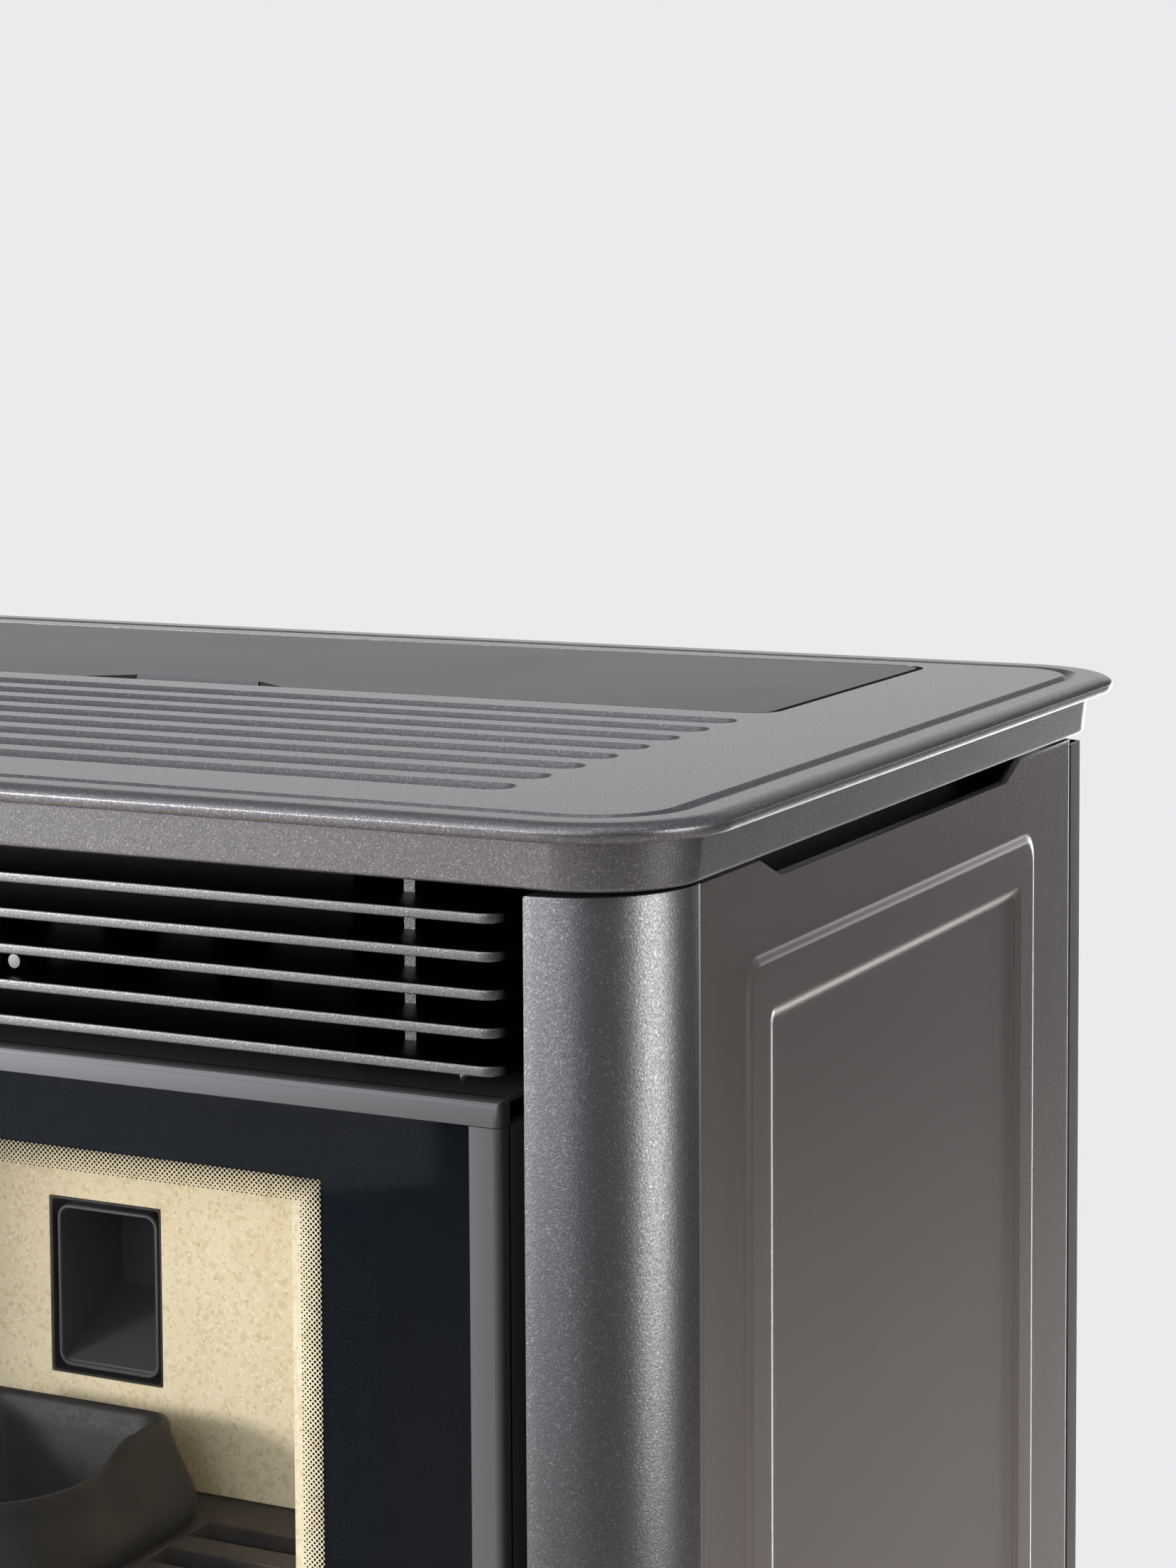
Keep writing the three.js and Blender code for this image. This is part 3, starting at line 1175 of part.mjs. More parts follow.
function buildAshDrawer() {
  const floorZ = shelfZ + chassisSheet + seat;
  const frontY = doorFrontY;
  const boxFrontY = frontY + drawerFrontThickness + seat;
  const t = drawerWall;
  const w = drawerHalfWidth;
  const tray = cut(box(-w, w, boxFrontY, drawerRearY, floorZ, drawerTopZ),
    box(-w + t, w - t, boxFrontY + t, drawerRearY - t, floorZ + t, drawerTopZ + past));
  add('ash_drawer', tray, 'zincSteel');
  let front = box(-doorHalfWidth, doorHalfWidth, frontY, frontY + drawerFrontThickness, drawerFrontBottomZ,
    drawerFrontTopZ);
  const fingerZ = drawerFrontTopZ - fingerDepth;
  const fingerTopZ = drawerFrontTopZ + past;
  front = cut(front, box(-fingerHalfWidth, fingerHalfWidth, frontY - past, boxFrontY, fingerZ, fingerTopZ));
  add('ash_drawer_front', front, 'satinPaint');

  const top = drawerFrontBottomZ - panelGap;
  const bottom = plinthTopZ + seat;
  const inside = doorHalfWidth - sheet;
  const tub = box(-inside, inside, frontY + sheet, frontY + frameDepth + past, bottom + sheet, top - sheet);
  const panel = cut(box(-doorHalfWidth, doorHalfWidth, frontY, frontY + frameDepth, bottom, top), tub);
  add('lower_front_panel', panel, 'satinPaint');
}

buildBase();
buildColumns();
buildSidePanels();
buildRearPanel();
buildChassis();
buildTopPlate();
buildLouvre();
buildLid();
buildHopper();
buildAuger();
buildChute();
buildFirebox();
buildBurnPot();
buildExchanger();
buildSmokeFan();
buildRoomFan();
buildPipes();
buildElectrics();
buildDoor();
buildLatch();
buildAshDrawer();

export default stove;
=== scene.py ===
import math

import bmesh
import bpy
from mathutils import Matrix, Vector
from mathutils.geometry import tessellate_polygon


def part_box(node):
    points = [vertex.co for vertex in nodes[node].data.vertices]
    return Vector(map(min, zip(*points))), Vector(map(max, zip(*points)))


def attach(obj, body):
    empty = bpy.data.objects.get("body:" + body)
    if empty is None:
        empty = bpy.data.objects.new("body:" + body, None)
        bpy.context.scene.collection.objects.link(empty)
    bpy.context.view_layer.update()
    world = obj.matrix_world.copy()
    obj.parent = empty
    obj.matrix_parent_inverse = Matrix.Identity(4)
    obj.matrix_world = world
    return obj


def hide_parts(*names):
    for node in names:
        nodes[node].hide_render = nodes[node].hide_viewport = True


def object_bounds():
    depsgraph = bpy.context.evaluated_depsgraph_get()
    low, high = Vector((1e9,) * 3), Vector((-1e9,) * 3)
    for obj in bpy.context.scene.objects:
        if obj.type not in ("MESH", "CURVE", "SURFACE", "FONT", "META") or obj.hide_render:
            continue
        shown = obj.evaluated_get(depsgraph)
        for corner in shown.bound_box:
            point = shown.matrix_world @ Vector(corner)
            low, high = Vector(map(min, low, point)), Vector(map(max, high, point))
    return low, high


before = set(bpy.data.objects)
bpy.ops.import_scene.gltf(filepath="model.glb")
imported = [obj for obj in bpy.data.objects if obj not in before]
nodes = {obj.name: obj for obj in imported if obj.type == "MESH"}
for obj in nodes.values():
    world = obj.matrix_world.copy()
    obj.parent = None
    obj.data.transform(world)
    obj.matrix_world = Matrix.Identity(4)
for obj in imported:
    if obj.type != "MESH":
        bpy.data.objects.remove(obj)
cadLow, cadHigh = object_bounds()
scene = bpy.context.scene
mm = 0.001
top = round(cadHigh.z / mm, 3)  # height of the top plate's face, in millimetres
print("stage: frame loaded")


# sRGB hex code as linear colour
def srgb(code):
    values = [int(code[i:i + 2], 16) / 255 for i in (1, 3, 5)]
    return [v / 12.92 if v <= 0.04045 else ((v + 0.055) / 1.055) ** 2.4 for v in values] + [1.0]


def addNode(tree, kind, inputs=None, **settings):
    made = tree.nodes.new(kind)
    for name, value in settings.items():
        setattr(made, name, value)
    for name, value in (inputs or {}).items():
        if isinstance(value, bpy.types.NodeSocket):
            tree.links.new(value, made.inputs[name])
        else:
            made.inputs[name].default_value = value
    return made


def startMaterial(name, **constants):
    material = bpy.data.materials.new(name)
    material.use_nodes = True
    tree = material.node_tree
    shader = tree.nodes["Principled BSDF"]
    for key, value in constants.items():
        shader.inputs[key.replace("_", " ")].default_value = value
    place = addNode(tree, "ShaderNodeTexCoord").outputs["Object"]
    return material, tree, shader, place


# Noise whose features are about size millimetres across
def noise(tree, place, size, detail=2.0, roughness=0.5, stretch=None):
    if stretch:
        place = addNode(tree, "ShaderNodeMapping", {"Vector": place, "Scale": stretch}).outputs["Vector"]
    return addNode(tree, "ShaderNodeTexNoise", {
        "Vector": place, "Scale": 1 / (size * mm), "Detail": detail, "Roughness": roughness,
    }).outputs["Fac"]


# Value between low and high, spread over outLow to outHigh and held there beyond them
def ramp(tree, value, low, high, outLow=0.0, outHigh=1.0):
    return addNode(tree, "ShaderNodeMapRange", {
        "Value": value, "From Min": low, "From Max": high, "To Min": outLow, "To Max": outHigh,
    }).outputs["Result"]


def mixColour(tree, factor, a, b):
    node = addNode(tree, "ShaderNodeMix", data_type="RGBA")
    for name, value in (("Factor_Float", factor), ("A_Color", a), ("B_Color", b)):
        socket = next(s for s in node.inputs if s.identifier == name)
        if isinstance(value, bpy.types.NodeSocket):
            tree.links.new(value, socket)
        else:
            socket.default_value = value
    return next(s for s in node.outputs if s.identifier == "Result_Color")


# Sand-textured metallic stove paint sprayed on cast iron: its fine grains break the highlight up, and a few
# of them sparkle. With shadeTurnedAway, faces turned away from the front get near-black painted shade, the
# shade that lies deep between the grille blades. Grain and depth are in millimetres.
def paintCast(name, dark, light, fleck, grain, depth, rough, shadeTurnedAway=False):
    material, tree, shader, place = startMaterial(name, Metallic=0.88)
    sand = noise(tree, place, grain, 2.0, 0.55)
    broad = noise(tree, place, 70.0, 2.0, 0.5)  # the sprayed coat is a little uneven
    cell = addNode(tree, "ShaderNodeTexVoronoi", {"Vector": place, "Scale": 1 / (0.6 * mm)})
    pick = addNode(tree, "ShaderNodeSeparateColor", {"Color": cell.outputs["Color"]}).outputs["Red"]
    body = mixColour(tree, ramp(tree, sand, 0.32, 0.68), srgb(dark), srgb(light))
    body = mixColour(tree, ramp(tree, broad, 0.3, 0.7, 0.0, 0.10), body, srgb(dark))
    body = mixColour(tree, ramp(tree, pick, 0.86, 0.97, 0.0, 0.3), body, srgb(fleck))
    if shadeTurnedAway:
        # painted shade: faces that look away from the front (-Y) are darkened nearly to black
        turned = addNode(tree, "ShaderNodeTexCoord").outputs["Normal"]
        across = addNode(tree, "ShaderNodeSeparateXYZ", {"Vector": turned}).outputs["Y"]
        body = mixColour(tree, ramp(tree, across, -0.7, -0.2), body, srgb("#0F0F11"))
    tree.links.new(body, shader.inputs["Base Color"])
    tree.links.new(ramp(tree, sand, 0.3, 0.7, rough + 0.05, rough - 0.05), shader.inputs["Roughness"])
    bump = addNode(tree, "ShaderNodeBump", {"Height": sand, "Strength": 0.6, "Distance": depth * mm})
    tree.links.new(bump.outputs["Normal"], shader.inputs["Normal"])
    return material


# Powder-coated or painted sheet steel: nearly smooth, with a faint orange peel that is peel millimetres deep
def paintSheet(name, colour, rough, metal=0.35, peel=0.02):
    material, tree, shader, place = startMaterial(name, Metallic=metal)
    cloud = noise(tree, place, 90.0, 3.0, 0.5)
    fine = noise(tree, place, 0.9, 2.0, 0.6)
    body = mixColour(tree, ramp(tree, cloud, 0.3, 0.7, 0.0, 0.05), srgb(colour), srgb("#000000"))
    body = mixColour(tree, ramp(tree, fine, 0.60, 0.80, 0.0, 0.05), body, srgb("#B9B6B8"))
    tree.links.new(body, shader.inputs["Base Color"])
    tree.links.new(ramp(tree, cloud, 0.3, 0.7, rough - 0.008, rough + 0.008), shader.inputs["Roughness"])
    skin = noise(tree, place, 2.2, 2.0, 0.5)
    bump = addNode(tree, "ShaderNodeBump", {"Height": skin, "Strength": 0.25, "Distance": peel * mm})
    tree.links.new(bump.outputs["Normal"], shader.inputs["Normal"])
    return material


# Zinc-plated sheet: pale, with the drawn grain of rolled steel
def zincSteel(name, colour, rough):
    material, tree, shader, place = startMaterial(name, Metallic=1.0)
    grain = noise(tree, place, 1.4, 3.0, 0.6, stretch=(0.06, 1.0, 1.0))
    cloud = noise(tree, place, 24.0, 3.0, 0.55)
    body = mixColour(tree, ramp(tree, cloud, 0.3, 0.7, 0.0, 0.3), srgb(colour), srgb("#7F8084"))
    tree.links.new(body, shader.inputs["Base Color"])
    tree.links.new(ramp(tree, grain, 0.3, 0.7, rough - 0.06, rough + 0.1), shader.inputs["Roughness"])
    bump = addNode(tree, "ShaderNodeBump", {"Height": grain, "Strength": 0.2, "Distance": 0.02 * mm})
    tree.links.new(bump.outputs["Normal"], shader.inputs["Normal"])
    return material


# Pressed vermiculite board: dry straw-coloured flakes with pits, golden and grey specks
def vermiculiteBoard():
    material, tree, shader, place = startMaterial("vermiculiteBoard", Roughness=0.88)
    flakes = addNode(tree, "ShaderNodeTexVoronoi", {"Vector": place, "Scale": 1 / (2.3 * mm)})
    small = addNode(tree, "ShaderNodeTexVoronoi", {"Vector": place, "Scale": 1 / (1.1 * mm)})
    tone = addNode(tree, "ShaderNodeSeparateColor", {"Color": flakes.outputs["Color"]})
    speck = addNode(tree, "ShaderNodeSeparateColor", {"Color": small.outputs["Color"]})
    cloud = noise(tree, place, 38.0, 4.0, 0.6)
    body = mixColour(tree, ramp(tree, cloud, 0.3, 0.7), srgb("#E8DCBC"), srgb("#F0E7CB"))
    body = mixColour(tree, ramp(tree, tone.outputs["Red"], 0.74, 0.84, 0.0, 0.5), body, srgb("#D6C69C"))
    body = mixColour(tree, ramp(tree, speck.outputs["Red"], 0.95, 0.97, 0.0, 0.4), body, srgb("#BCA981"))
    body = mixColour(tree, ramp(tree, speck.outputs["Green"], 0.91, 0.93, 0.0, 0.8), body, srgb("#F7F0DB"))
    tree.links.new(body, shader.inputs["Base Color"])
    rough = noise(tree, place, 1.6, 4.0, 0.65)
    bump = addNode(tree, "ShaderNodeBump", {"Height": rough, "Strength": 0.7, "Distance": 0.35 * mm})
    tree.links.new(bump.outputs["Normal"], shader.inputs["Normal"])
    return material


# Raw cast iron of the fire pot and grate: heat-browned, with an open sand-cast skin
def castIron(name, dark, brown):
    material, tree, shader, place = startMaterial(name, Metallic=0.25)
    skin = noise(tree, place, 1.5, 4.0, 0.6)
    cloud = noise(tree, place, 26.0, 3.0, 0.6)
    body = mixColour(tree, ramp(tree, cloud, 0.3, 0.7), srgb(dark), srgb(brown))
    body = mixColour(tree, ramp(tree, skin, 0.62, 0.8, 0.0, 0.18), body, srgb("#6A625C"))
    tree.links.new(body, shader.inputs["Base Color"])
    tree.links.new(ramp(tree, skin, 0.3, 0.7, 0.5, 0.68), shader.inputs["Roughness"])
    bump = addNode(tree, "ShaderNodeBump", {"Height": skin, "Strength": 0.5, "Distance": 0.15 * mm})
    tree.links.new(bump.outputs["Normal"], shader.inputs["Normal"])
    return material


# Black enamel printed on the back of the fire glass: dense, smooth, faintly blue under the glass
def enamelPrint():
    material, tree, shader, place = startMaterial("enamelPrint", Roughness=0.08, Specular_IOR_Level=0.03)
    cloud = noise(tree, place, 120.0, 2.0, 0.5)
    body = mixColour(tree, ramp(tree, cloud, 0.3, 0.7), srgb("#0B0F15"), srgb("#0E1218"))
    tree.links.new(body, shader.inputs["Base Color"])
    return material


# Clear ceramic fire glass with a trace of smoke haze
def fireGlass():
    material, tree, shader, place = startMaterial("fireGlass", Roughness=0.03, Alpha=0.05, IOR=1.52)
    haze = noise(tree, place, 55.0, 3.0, 0.5)
    tree.links.new(mixColour(tree, haze, srgb("#1D2126"), srgb("#262A2E")), shader.inputs["Base Color"])
    return material


# Knitted glass-fibre rope: matt black loops about 2.4 mm across
def fibreRope():
    material, tree, shader, place = startMaterial("fibreRope", Roughness=0.92, Sheen_Weight=0.2)
    loops = addNode(tree, "ShaderNodeTexVoronoi", {"Vector": place, "Scale": 1 / (2.4 * mm)})
    # painted shade: the colour darkens towards the rims of the loops, in the creases where the bump sinks
    body = mixColour(tree, ramp(tree, loops.outputs["Distance"], 0.1, 0.7), srgb("#3A3A3C"), srgb("#141415"))
    tree.links.new(body, shader.inputs["Base Color"])
    bump = addNode(tree, "ShaderNodeBump", {
        "Height": loops.outputs["Distance"], "Strength": 0.8, "Distance": 0.5 * mm}, invert=True)
    tree.links.new(bump.outputs["Normal"], shader.inputs["Normal"])
    return material


# Moulded black plastic with a fine spark-eroded texture
def mouldedPlastic():
    material, tree, shader, place = startMaterial("mouldedPlastic", Roughness=0.5)
    texture = noise(tree, place, 0.7, 2.0, 0.6)
    body = mixColour(tree, texture, srgb("#1A1A1C"), srgb("#222224"))
    tree.links.new(body, shader.inputs["Base Color"])
    bump = addNode(tree, "ShaderNodeBump", {"Height": texture, "Strength": 0.3, "Distance": 0.05 * mm})
    tree.links.new(bump.outputs["Normal"], shader.inputs["Normal"])
    return material


finish = {
    "castPaint": paintCast("castPaint", "#66666A", "#848488", "#C6C5C7", 0.8, 0.13, 0.33),
    # the grille's blade tops and backs get near-black painted shade
    "grillePaint": paintCast("grillePaint", "#616265", "#828386", "#B4B4B6", 0.8, 0.14, 0.38, True),
    "sheetPaint": paintSheet("sheetPaint", "#868280", 0.25, metal=0.68),
    "rearPaint": paintSheet("rearPaint", "#47484B", 0.42, metal=0.2, peel=0.03),
    "framePaint": paintSheet("framePaint", "#66676B", 0.34, metal=0.6),
    "lidPaint": paintSheet("lidPaint", "#4F4F54", 0.43, metal=0.7),
    "blackSteel": paintSheet("blackSteel", "#202023", 0.40, metal=0.2),
    "chuteSteel": paintSheet("chuteSteel", "#55565D", 0.38, metal=0.35),
    "zincSteel": zincSteel("zincSteel", "#A9AAAD", 0.34),
    # painted shade: a darker copy of the zinc steel for the scraper rod, to hold down its head where the key
    # lamp lights it
    "shadedRodSteel": zincSteel("shadedRodSteel", "#74787C", 0.42),
    "vermiculite": vermiculiteBoard(),
    "potIron": castIron("potIron", "#151619", "#202124"),
    "grateIron": castIron("grateIron", "#2A2625", "#3D3733"),
    "enamelPrint": enamelPrint(),
    "fireGlass": fireGlass(),
    "fibreRope": fibreRope(),
    "mouldedPlastic": mouldedPlastic(),
}
print("stage: materials ready")


def smoothShade(mesh, angle=38):
    mesh.polygons.foreach_set("use_smooth", [True] * len(mesh.polygons))
    mesh.set_sharp_from_angle(angle=math.radians(angle))


def addBevel(obj, width, segments=2, angle=32, keepSharp=False):
    bevel = obj.modifiers.new("bevel", "BEVEL")
    bevel.width = width * mm
    bevel.segments = segments
    bevel.limit_method = "ANGLE"
    bevel.angle_limit = math.radians(angle)
    weighted = obj.modifiers.new("normals", "WEIGHTED_NORMAL")
    weighted.keep_sharp = keepSharp


# Joins points that lie within reach millimetres
def addWeld(obj, reach):
    weld = obj.modifiers.new("weld", "WELD")
    weld.merge_threshold = reach * mm


# A new piece from points in millimetres
def makePiece(name, points, faces, body, material, slot, replaces=(), bevel=0.0, angle=38):
    mesh = bpy.data.meshes.new(name)
    mesh.from_pydata([[c * mm for c in p] for p in points], [], faces)
    mesh.validate()
    mesh.update()
    obj = bpy.data.objects.new(name, mesh)
    scene.collection.objects.link(obj)
    mesh.materials.append(finish[material])
    smoothShade(mesh, angle)
    if bevel:
        addBevel(obj, bevel)
    if body:
        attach(obj, body)
        if replaces:
            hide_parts(*replaces)
    return obj


# A CAD node kept as it is, with its edges softened and a new finish
def dress(name, material, bevel):
    obj = nodes[name]
    obj.data.materials.clear()
    obj.data.materials.append(finish[material])
    obj.data.polygons.foreach_set("use_smooth", [True] * len(obj.data.polygons))
    addWeld(obj, 0.01)
    addBevel(obj, bevel)


# Skin over rings of equal length; looped rings join the last to the first
def loftRings(rings, looped=False, caps=True):
    points = [p for ring in rings for p in ring]
    count, length = len(rings), len(rings[0])
    faces = []
    for i in range(count if looped else count - 1):
        a = i * length
        b = (i + 1) % count * length
        for j in range(length):
            k = (j + 1) % length
            faces.append((a + j, a + k, b + k, b + j))
    if caps and not looped:
        faces.append(tuple(reversed(range(length))))
        faces.append(tuple((count - 1) * length + j for j in range(length)))
    return points, faces


# Joins several (points, faces) shells into one
def gather(*shells):
    points, faces = [], []
    for p, f in shells:
        base = len(points)
        points.extend(p)
        faces.extend(tuple(i + base for i in face) for face in f)
    return points, faces


def mirrorX(shell):
    points, faces = shell
    return [(-x, y, z) for x, y, z in points], [tuple(reversed(f)) for f in faces]


def boxShell(x0, x1, y0, y1, z0, z1):
    rings = [[(x0, y0, z), (x1, y0, z), (x1, y1, z), (x0, y1, z)] for z in (z0, z1)]
    return loftRings(rings)


# Rounded rectangle as (a, b) points, anticlockwise
def roundRect(a0, a1, b0, b1, r, steps=6):
    r = max(r, 0.05)
    out = []
    corners = ((a1 - r, b0 + r, -0.5), (a1 - r, b1 - r, 0), (a0 + r, b1 - r, 0.5), (a0 + r, b0 + r, 1))
    for ca, cb, turn in corners:
        for i in range(steps + 1):
            angle = (turn + i / steps / 2) * math.pi
            out.append((ca + r * math.cos(angle), cb + r * math.sin(angle)))
    return out


# A turned shape: profile of (radius, height) about an axis through centre
def lathe(profile, centre, axis, steps=32):
    rings = []
    for radius, height in profile:
        ring = []
        for i in range(steps):
            angle = 2 * math.pi * i / steps
            u, v = radius * math.cos(angle), radius * math.sin(angle)
            local = {"x": (height, u, v), "y": (v, height, u), "z": (u, v, height)}[axis]
            ring.append(tuple(c + d for c, d in zip(centre, local)))
        rings.append(ring)
    return loftRings(rings)


def subtract(obj, cutter):
    boolean = obj.modifiers.new("cut", "BOOLEAN")
    boolean.operation = "DIFFERENCE"
    boolean.solver = "EXACT"
    boolean.object = cutter
    bpy.context.view_layer.update()
    done = bpy.data.meshes.new_from_object(obj.evaluated_get(bpy.context.evaluated_depsgraph_get()))
    obj.modifiers.remove(boolean)
    old = obj.data
    obj.data = done
    bpy.data.meshes.remove(old)
    bpy.data.objects.remove(cutter)


# Camera: fitted to the photograph's viewing angle
shot = {
    "place": (881.75, -1322.08, 190.0),
    "yaw": 26.185, "pitch": 4.327, "roll": -0.312,
    "lens": 78.92, "longSide": 36.0, "shiftY": -0.1593,
}


def aimCamera():
    yaw, pitch, roll = (math.radians(shot[k]) for k in ("yaw", "pitch", "roll"))
    forward = Vector((-math.sin(yaw) * math.cos(pitch), math.cos(yaw) * math.cos(pitch), -math.sin(pitch)))
    right = Vector((math.cos(yaw), math.sin(yaw), 0))
    up = right.cross(forward)
    right, up = math.cos(roll) * right + math.sin(roll) * up, -math.sin(roll) * right + math.cos(roll) * up
    data = bpy.data.cameras.new("camera")
    data.sensor_width = shot["longSide"]
    data.sensor_height = shot["longSide"]
    data.lens = shot["lens"]
    data.shift_y = shot["shiftY"]
    data.clip_start, data.clip_end = 0.05, 200
    camera = bpy.data.objects.new("camera", data)
    scene.collection.objects.link(camera)
    x, y, rise = shot["place"]
    turn = Matrix((right, up, -forward)).transposed().to_4x4()
    camera.matrix_world = Matrix.Translation(Vector((x, y, top + rise)) * mm) @ turn
    scene.camera = camera


aimCamera()


# Cast top plate: rolled rim, bead groove, undercut skirt, eight shallow flutes and the hopper opening
plateSize = {
    "halfX": 395, "halfY": 270, "corner": 54, "cornerSteps": 22,
    "field": 23.6, "land": 16, "groove": 2.0,  # bead groove between the field and the land
    "nose": 7.5, "rim": 7.05, "undercut": 1.8,  # rolled rim
    "skirt": 11.5, "foot": 13.4, "footCurl": 2, "drop": 26.4, "wall": 5, "thickness": 9,
    "flutes": 8, "fluteHalf": 298, "fluteFirst": -198, "flutePitch": 29.35,
    "fluteWidth": 17.5, "fluteDepth": 3.7,
    "lidHalf": 301.5, "lidFront": 35.4, "lidRear": 233.5, "lidCorner": 13.5,
    "panelGap": 0.5, "panelSeat": 0.3, "edge": 0.45,
}


def buildTopPlate():
    s = plateSize

    def ring(inset, drop):
        x1, y1 = s["halfX"] - inset, s["halfY"] - inset
        flat = roundRect(-x1, x1, -y1, y1, s["corner"] - inset, s["cornerSteps"])
        return [(x, y, top - drop) for x, y in flat]

    rings = [ring(s["field"], 0)]
    width = s["field"] - s["land"]
    for i in range(1, 10):
        t = i / 10
        rings.append(ring(s["field"] - t * width, s["groove"] * math.sin(math.pi * t) ** 1.4))
    rings.append(ring(s["land"], 0))
    halfRim = s["rim"] / 2
    for i in range(11):
        angle = i / 10 * math.pi / 2
        rings.append(ring(s["nose"] * (1 - math.sin(angle)), halfRim * (1 - math.cos(angle))))
    for i in range(1, 5):
        angle = i / 4 * math.pi / 2
        rings.append(ring(s["undercut"] * (1 - math.cos(angle)), halfRim + halfRim * math.sin(angle)))
    # A small fillet under the rim, then the skirt down to its curled foot
    for inset, drop in ((-1.2, 0), (-0.4, 0.3), (0, 1.2)):
        rings.append(ring(s["skirt"] + inset, s["rim"] + drop))
    curl = s["footCurl"]
    for t in (0.0, 0.4, 0.75, 1.0):
        angle = t * math.pi / 2
        drop = s["drop"] - curl + curl * math.sin(angle)
        rings.append(ring(s["foot"] - 0.15 + curl * (1 - math.cos(angle)), drop))
    inner = s["foot"] + s["wall"]
    rings += [ring(inner, s["drop"]), ring(inner, s["thickness"])]
    points, faces = loftRings(rings)
    plate = makePiece("topPlate", points, faces, "stove", "castPaint", "cast_paint", ["top_plate"])

    # What is cut out: the hopper opening, the flutes with their round ends, and the touch panel's seat
    outline = roundRect(-s["lidHalf"], s["lidHalf"], s["lidFront"], s["lidRear"], s["lidCorner"], 8)
    shells = [loftRings([[(x, y, z) for x, y in outline] for z in (top - 30, top + 20)])]
    radius = (s["fluteWidth"] ** 2 / 4 + s["fluteDepth"] ** 2) / (2 * s["fluteDepth"])
    reach = s["fluteHalf"] - s["fluteWidth"] / 2
    for i in range(s["flutes"]):
        profile = [(0.4, -reach - radius)]
        for k in range(1, 11):
            angle = k / 10 * math.pi / 2
            profile.append((radius * math.sin(angle), -reach - radius * math.cos(angle)))
        profile += [(r, -h) for r, h in reversed(profile)]
        at = (0, s["fluteFirst"] + i * s["flutePitch"], top + radius - s["fluteDepth"])
        shells.append(lathe(profile, at, "x", 56))
    low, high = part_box("touch_panel")
    gap = s["panelGap"]
    shells.append(boxShell(low.x / mm - gap, high.x / mm + gap, low.y / mm - gap, high.y / mm + gap,
                           low.z / mm - s["panelSeat"], top + 5))
    cutter = makePiece("plateCutter", *gather(*shells), None, "castPaint", "cast_paint")
    subtract(plate, cutter)
    smoothShade(plate.data, 24)
    addBevel(plate, s["edge"], angle=30, keepSharp=True)


buildTopPlate()
print("stage: top plate")


# Warm-air grille: five thin cast blades with rounded front edges on two posts
grilleSize = {
    "half": 319, "front": -252, "rear": -203, "corner": 8, "thick": 4.0, "edge": 0.8,
    "firstDrop": 37, "pitch": 13.87, "count": 5,
    "postX": 268, "postWidth": 4.6, "postFront": -225, "postDepth": 8, "postDrop": 9.3,
}


def buildGrille():
    s = grilleSize
    e = s["edge"]

    def plan(inset, z):
        r = s["corner"] - inset
        x0, x1, y0, y1 = -s["half"] + inset, s["half"] - inset, s["front"] + inset, s["rear"]
        out = []
        for cx, turn in ((x1 - r, -0.5), (x0 + r, 1.0)):
            arc = [(turn + i / 16) * math.pi for i in range(9)]
            out.append([(cx + r * math.cos(a), y0 + r + r * math.sin(a), z) for a in arc])
        return out[0] + [(x1, y1, z), (x0, y1, z)] + out[1]

    shells = []
    for i in range(s["count"]):
        high = top - s["firstDrop"] - i * s["pitch"]
        low = high - s["thick"]
        angles = [k / 4 * math.pi / 2 for k in range(5)]
        rings = [plan(e * (1 - math.sin(a)), low + e * (1 - math.cos(a))) for a in angles]
        rings += [plan(e * (1 - math.cos(a)), high - e * (1 - math.sin(a))) for a in angles]
        shells.append(loftRings(rings))
    lastZ = top - s["firstDrop"] - (s["count"] - 1) * s["pitch"] - s["thick"] / 2
    half = s["postWidth"] / 2
    for x in (-s["postX"], s["postX"]):
        y = s["postFront"]
        shells.append(boxShell(x - half, x + half, y, y + s["postDepth"], lastZ, top - s["postDrop"]))
    makePiece("grilleBlades", *gather(*shells), "stove", "grillePaint", "cast_paint", ["louvre_grille"])


buildGrille()
print("stage: grille")


# Cast corner column: a quarter round with a short return at its inner edge
columnSize = {
    "inner": 330, "front": -254, "radius": 47, "wall": 7, "leg": -200,
    "low": 58.3, "high": 1011.2, "edge": 1.2,
}


def buildColumns():
    s = columnSize
    centreY = s["front"] + s["radius"]
    inside = s["radius"] - s["wall"]

    def plan(inset, z):
        r = s["radius"] - inset
        x0 = s["inner"] + inset
        start = math.asin(inset / r) if inset else 0
        arc = [-math.pi / 2 + start + i / 32 * (math.pi / 2 - start) for i in range(33)]
        ring = [(s["inner"] + r * math.cos(a), centreY + r * math.sin(a)) for a in arc]
        ring.append((s["inner"] + inside + inset * 0.5, centreY))
        end = -math.atan2(math.sqrt(inside ** 2 - s["wall"] ** 2), s["wall"])
        back = [i / 16 * end for i in range(17)]
        ring += [(s["inner"] + inside * math.cos(a), centreY + inside * math.sin(a)) for a in back]
        ring += [(s["inner"] + s["wall"], s["leg"]), (x0, s["leg"])]
        return [(x, y, z) for x, y in ring]

    e = s["edge"]
    mid = 0.35  # where the rounded edge passes 45 degrees
    rings = [plan(e, s["low"]), plan(mid, s["low"] + mid), plan(0, s["low"] + e)]
    rings += [plan(0, s["high"] - e), plan(mid, s["high"] - mid), plan(e, s["high"])]
    right = loftRings(rings)
    for name, shell in (("right", right), ("left", mirrorX(right))):
        makePiece(f"{name}Column", *shell, "stove", "castPaint", "cast_paint", [f"{name}_column"])


buildColumns()
print("stage: columns")


# Pressed side panel: a raised frame with soft shoulders, a notch at the top and folded edges
panelSize = {
    "x": 377, "sheet": 2, "front": -206.7, "rear": 217.5, "low": 60, "high": 1011, "notch": 1002.3,
    "notchFront": -131, "notchRear": 127, "slope": 20, "fold": 2.4,
    "bandFront": -167, "bandRear": 165, "bandTop": 976, "bandLow": 96, "band": 25, "rise": 1.4,
    "shoulder": 5.5, "margin": 1.5, "radius": 12, "taper": 0.35, "gauge": 1.2,
}


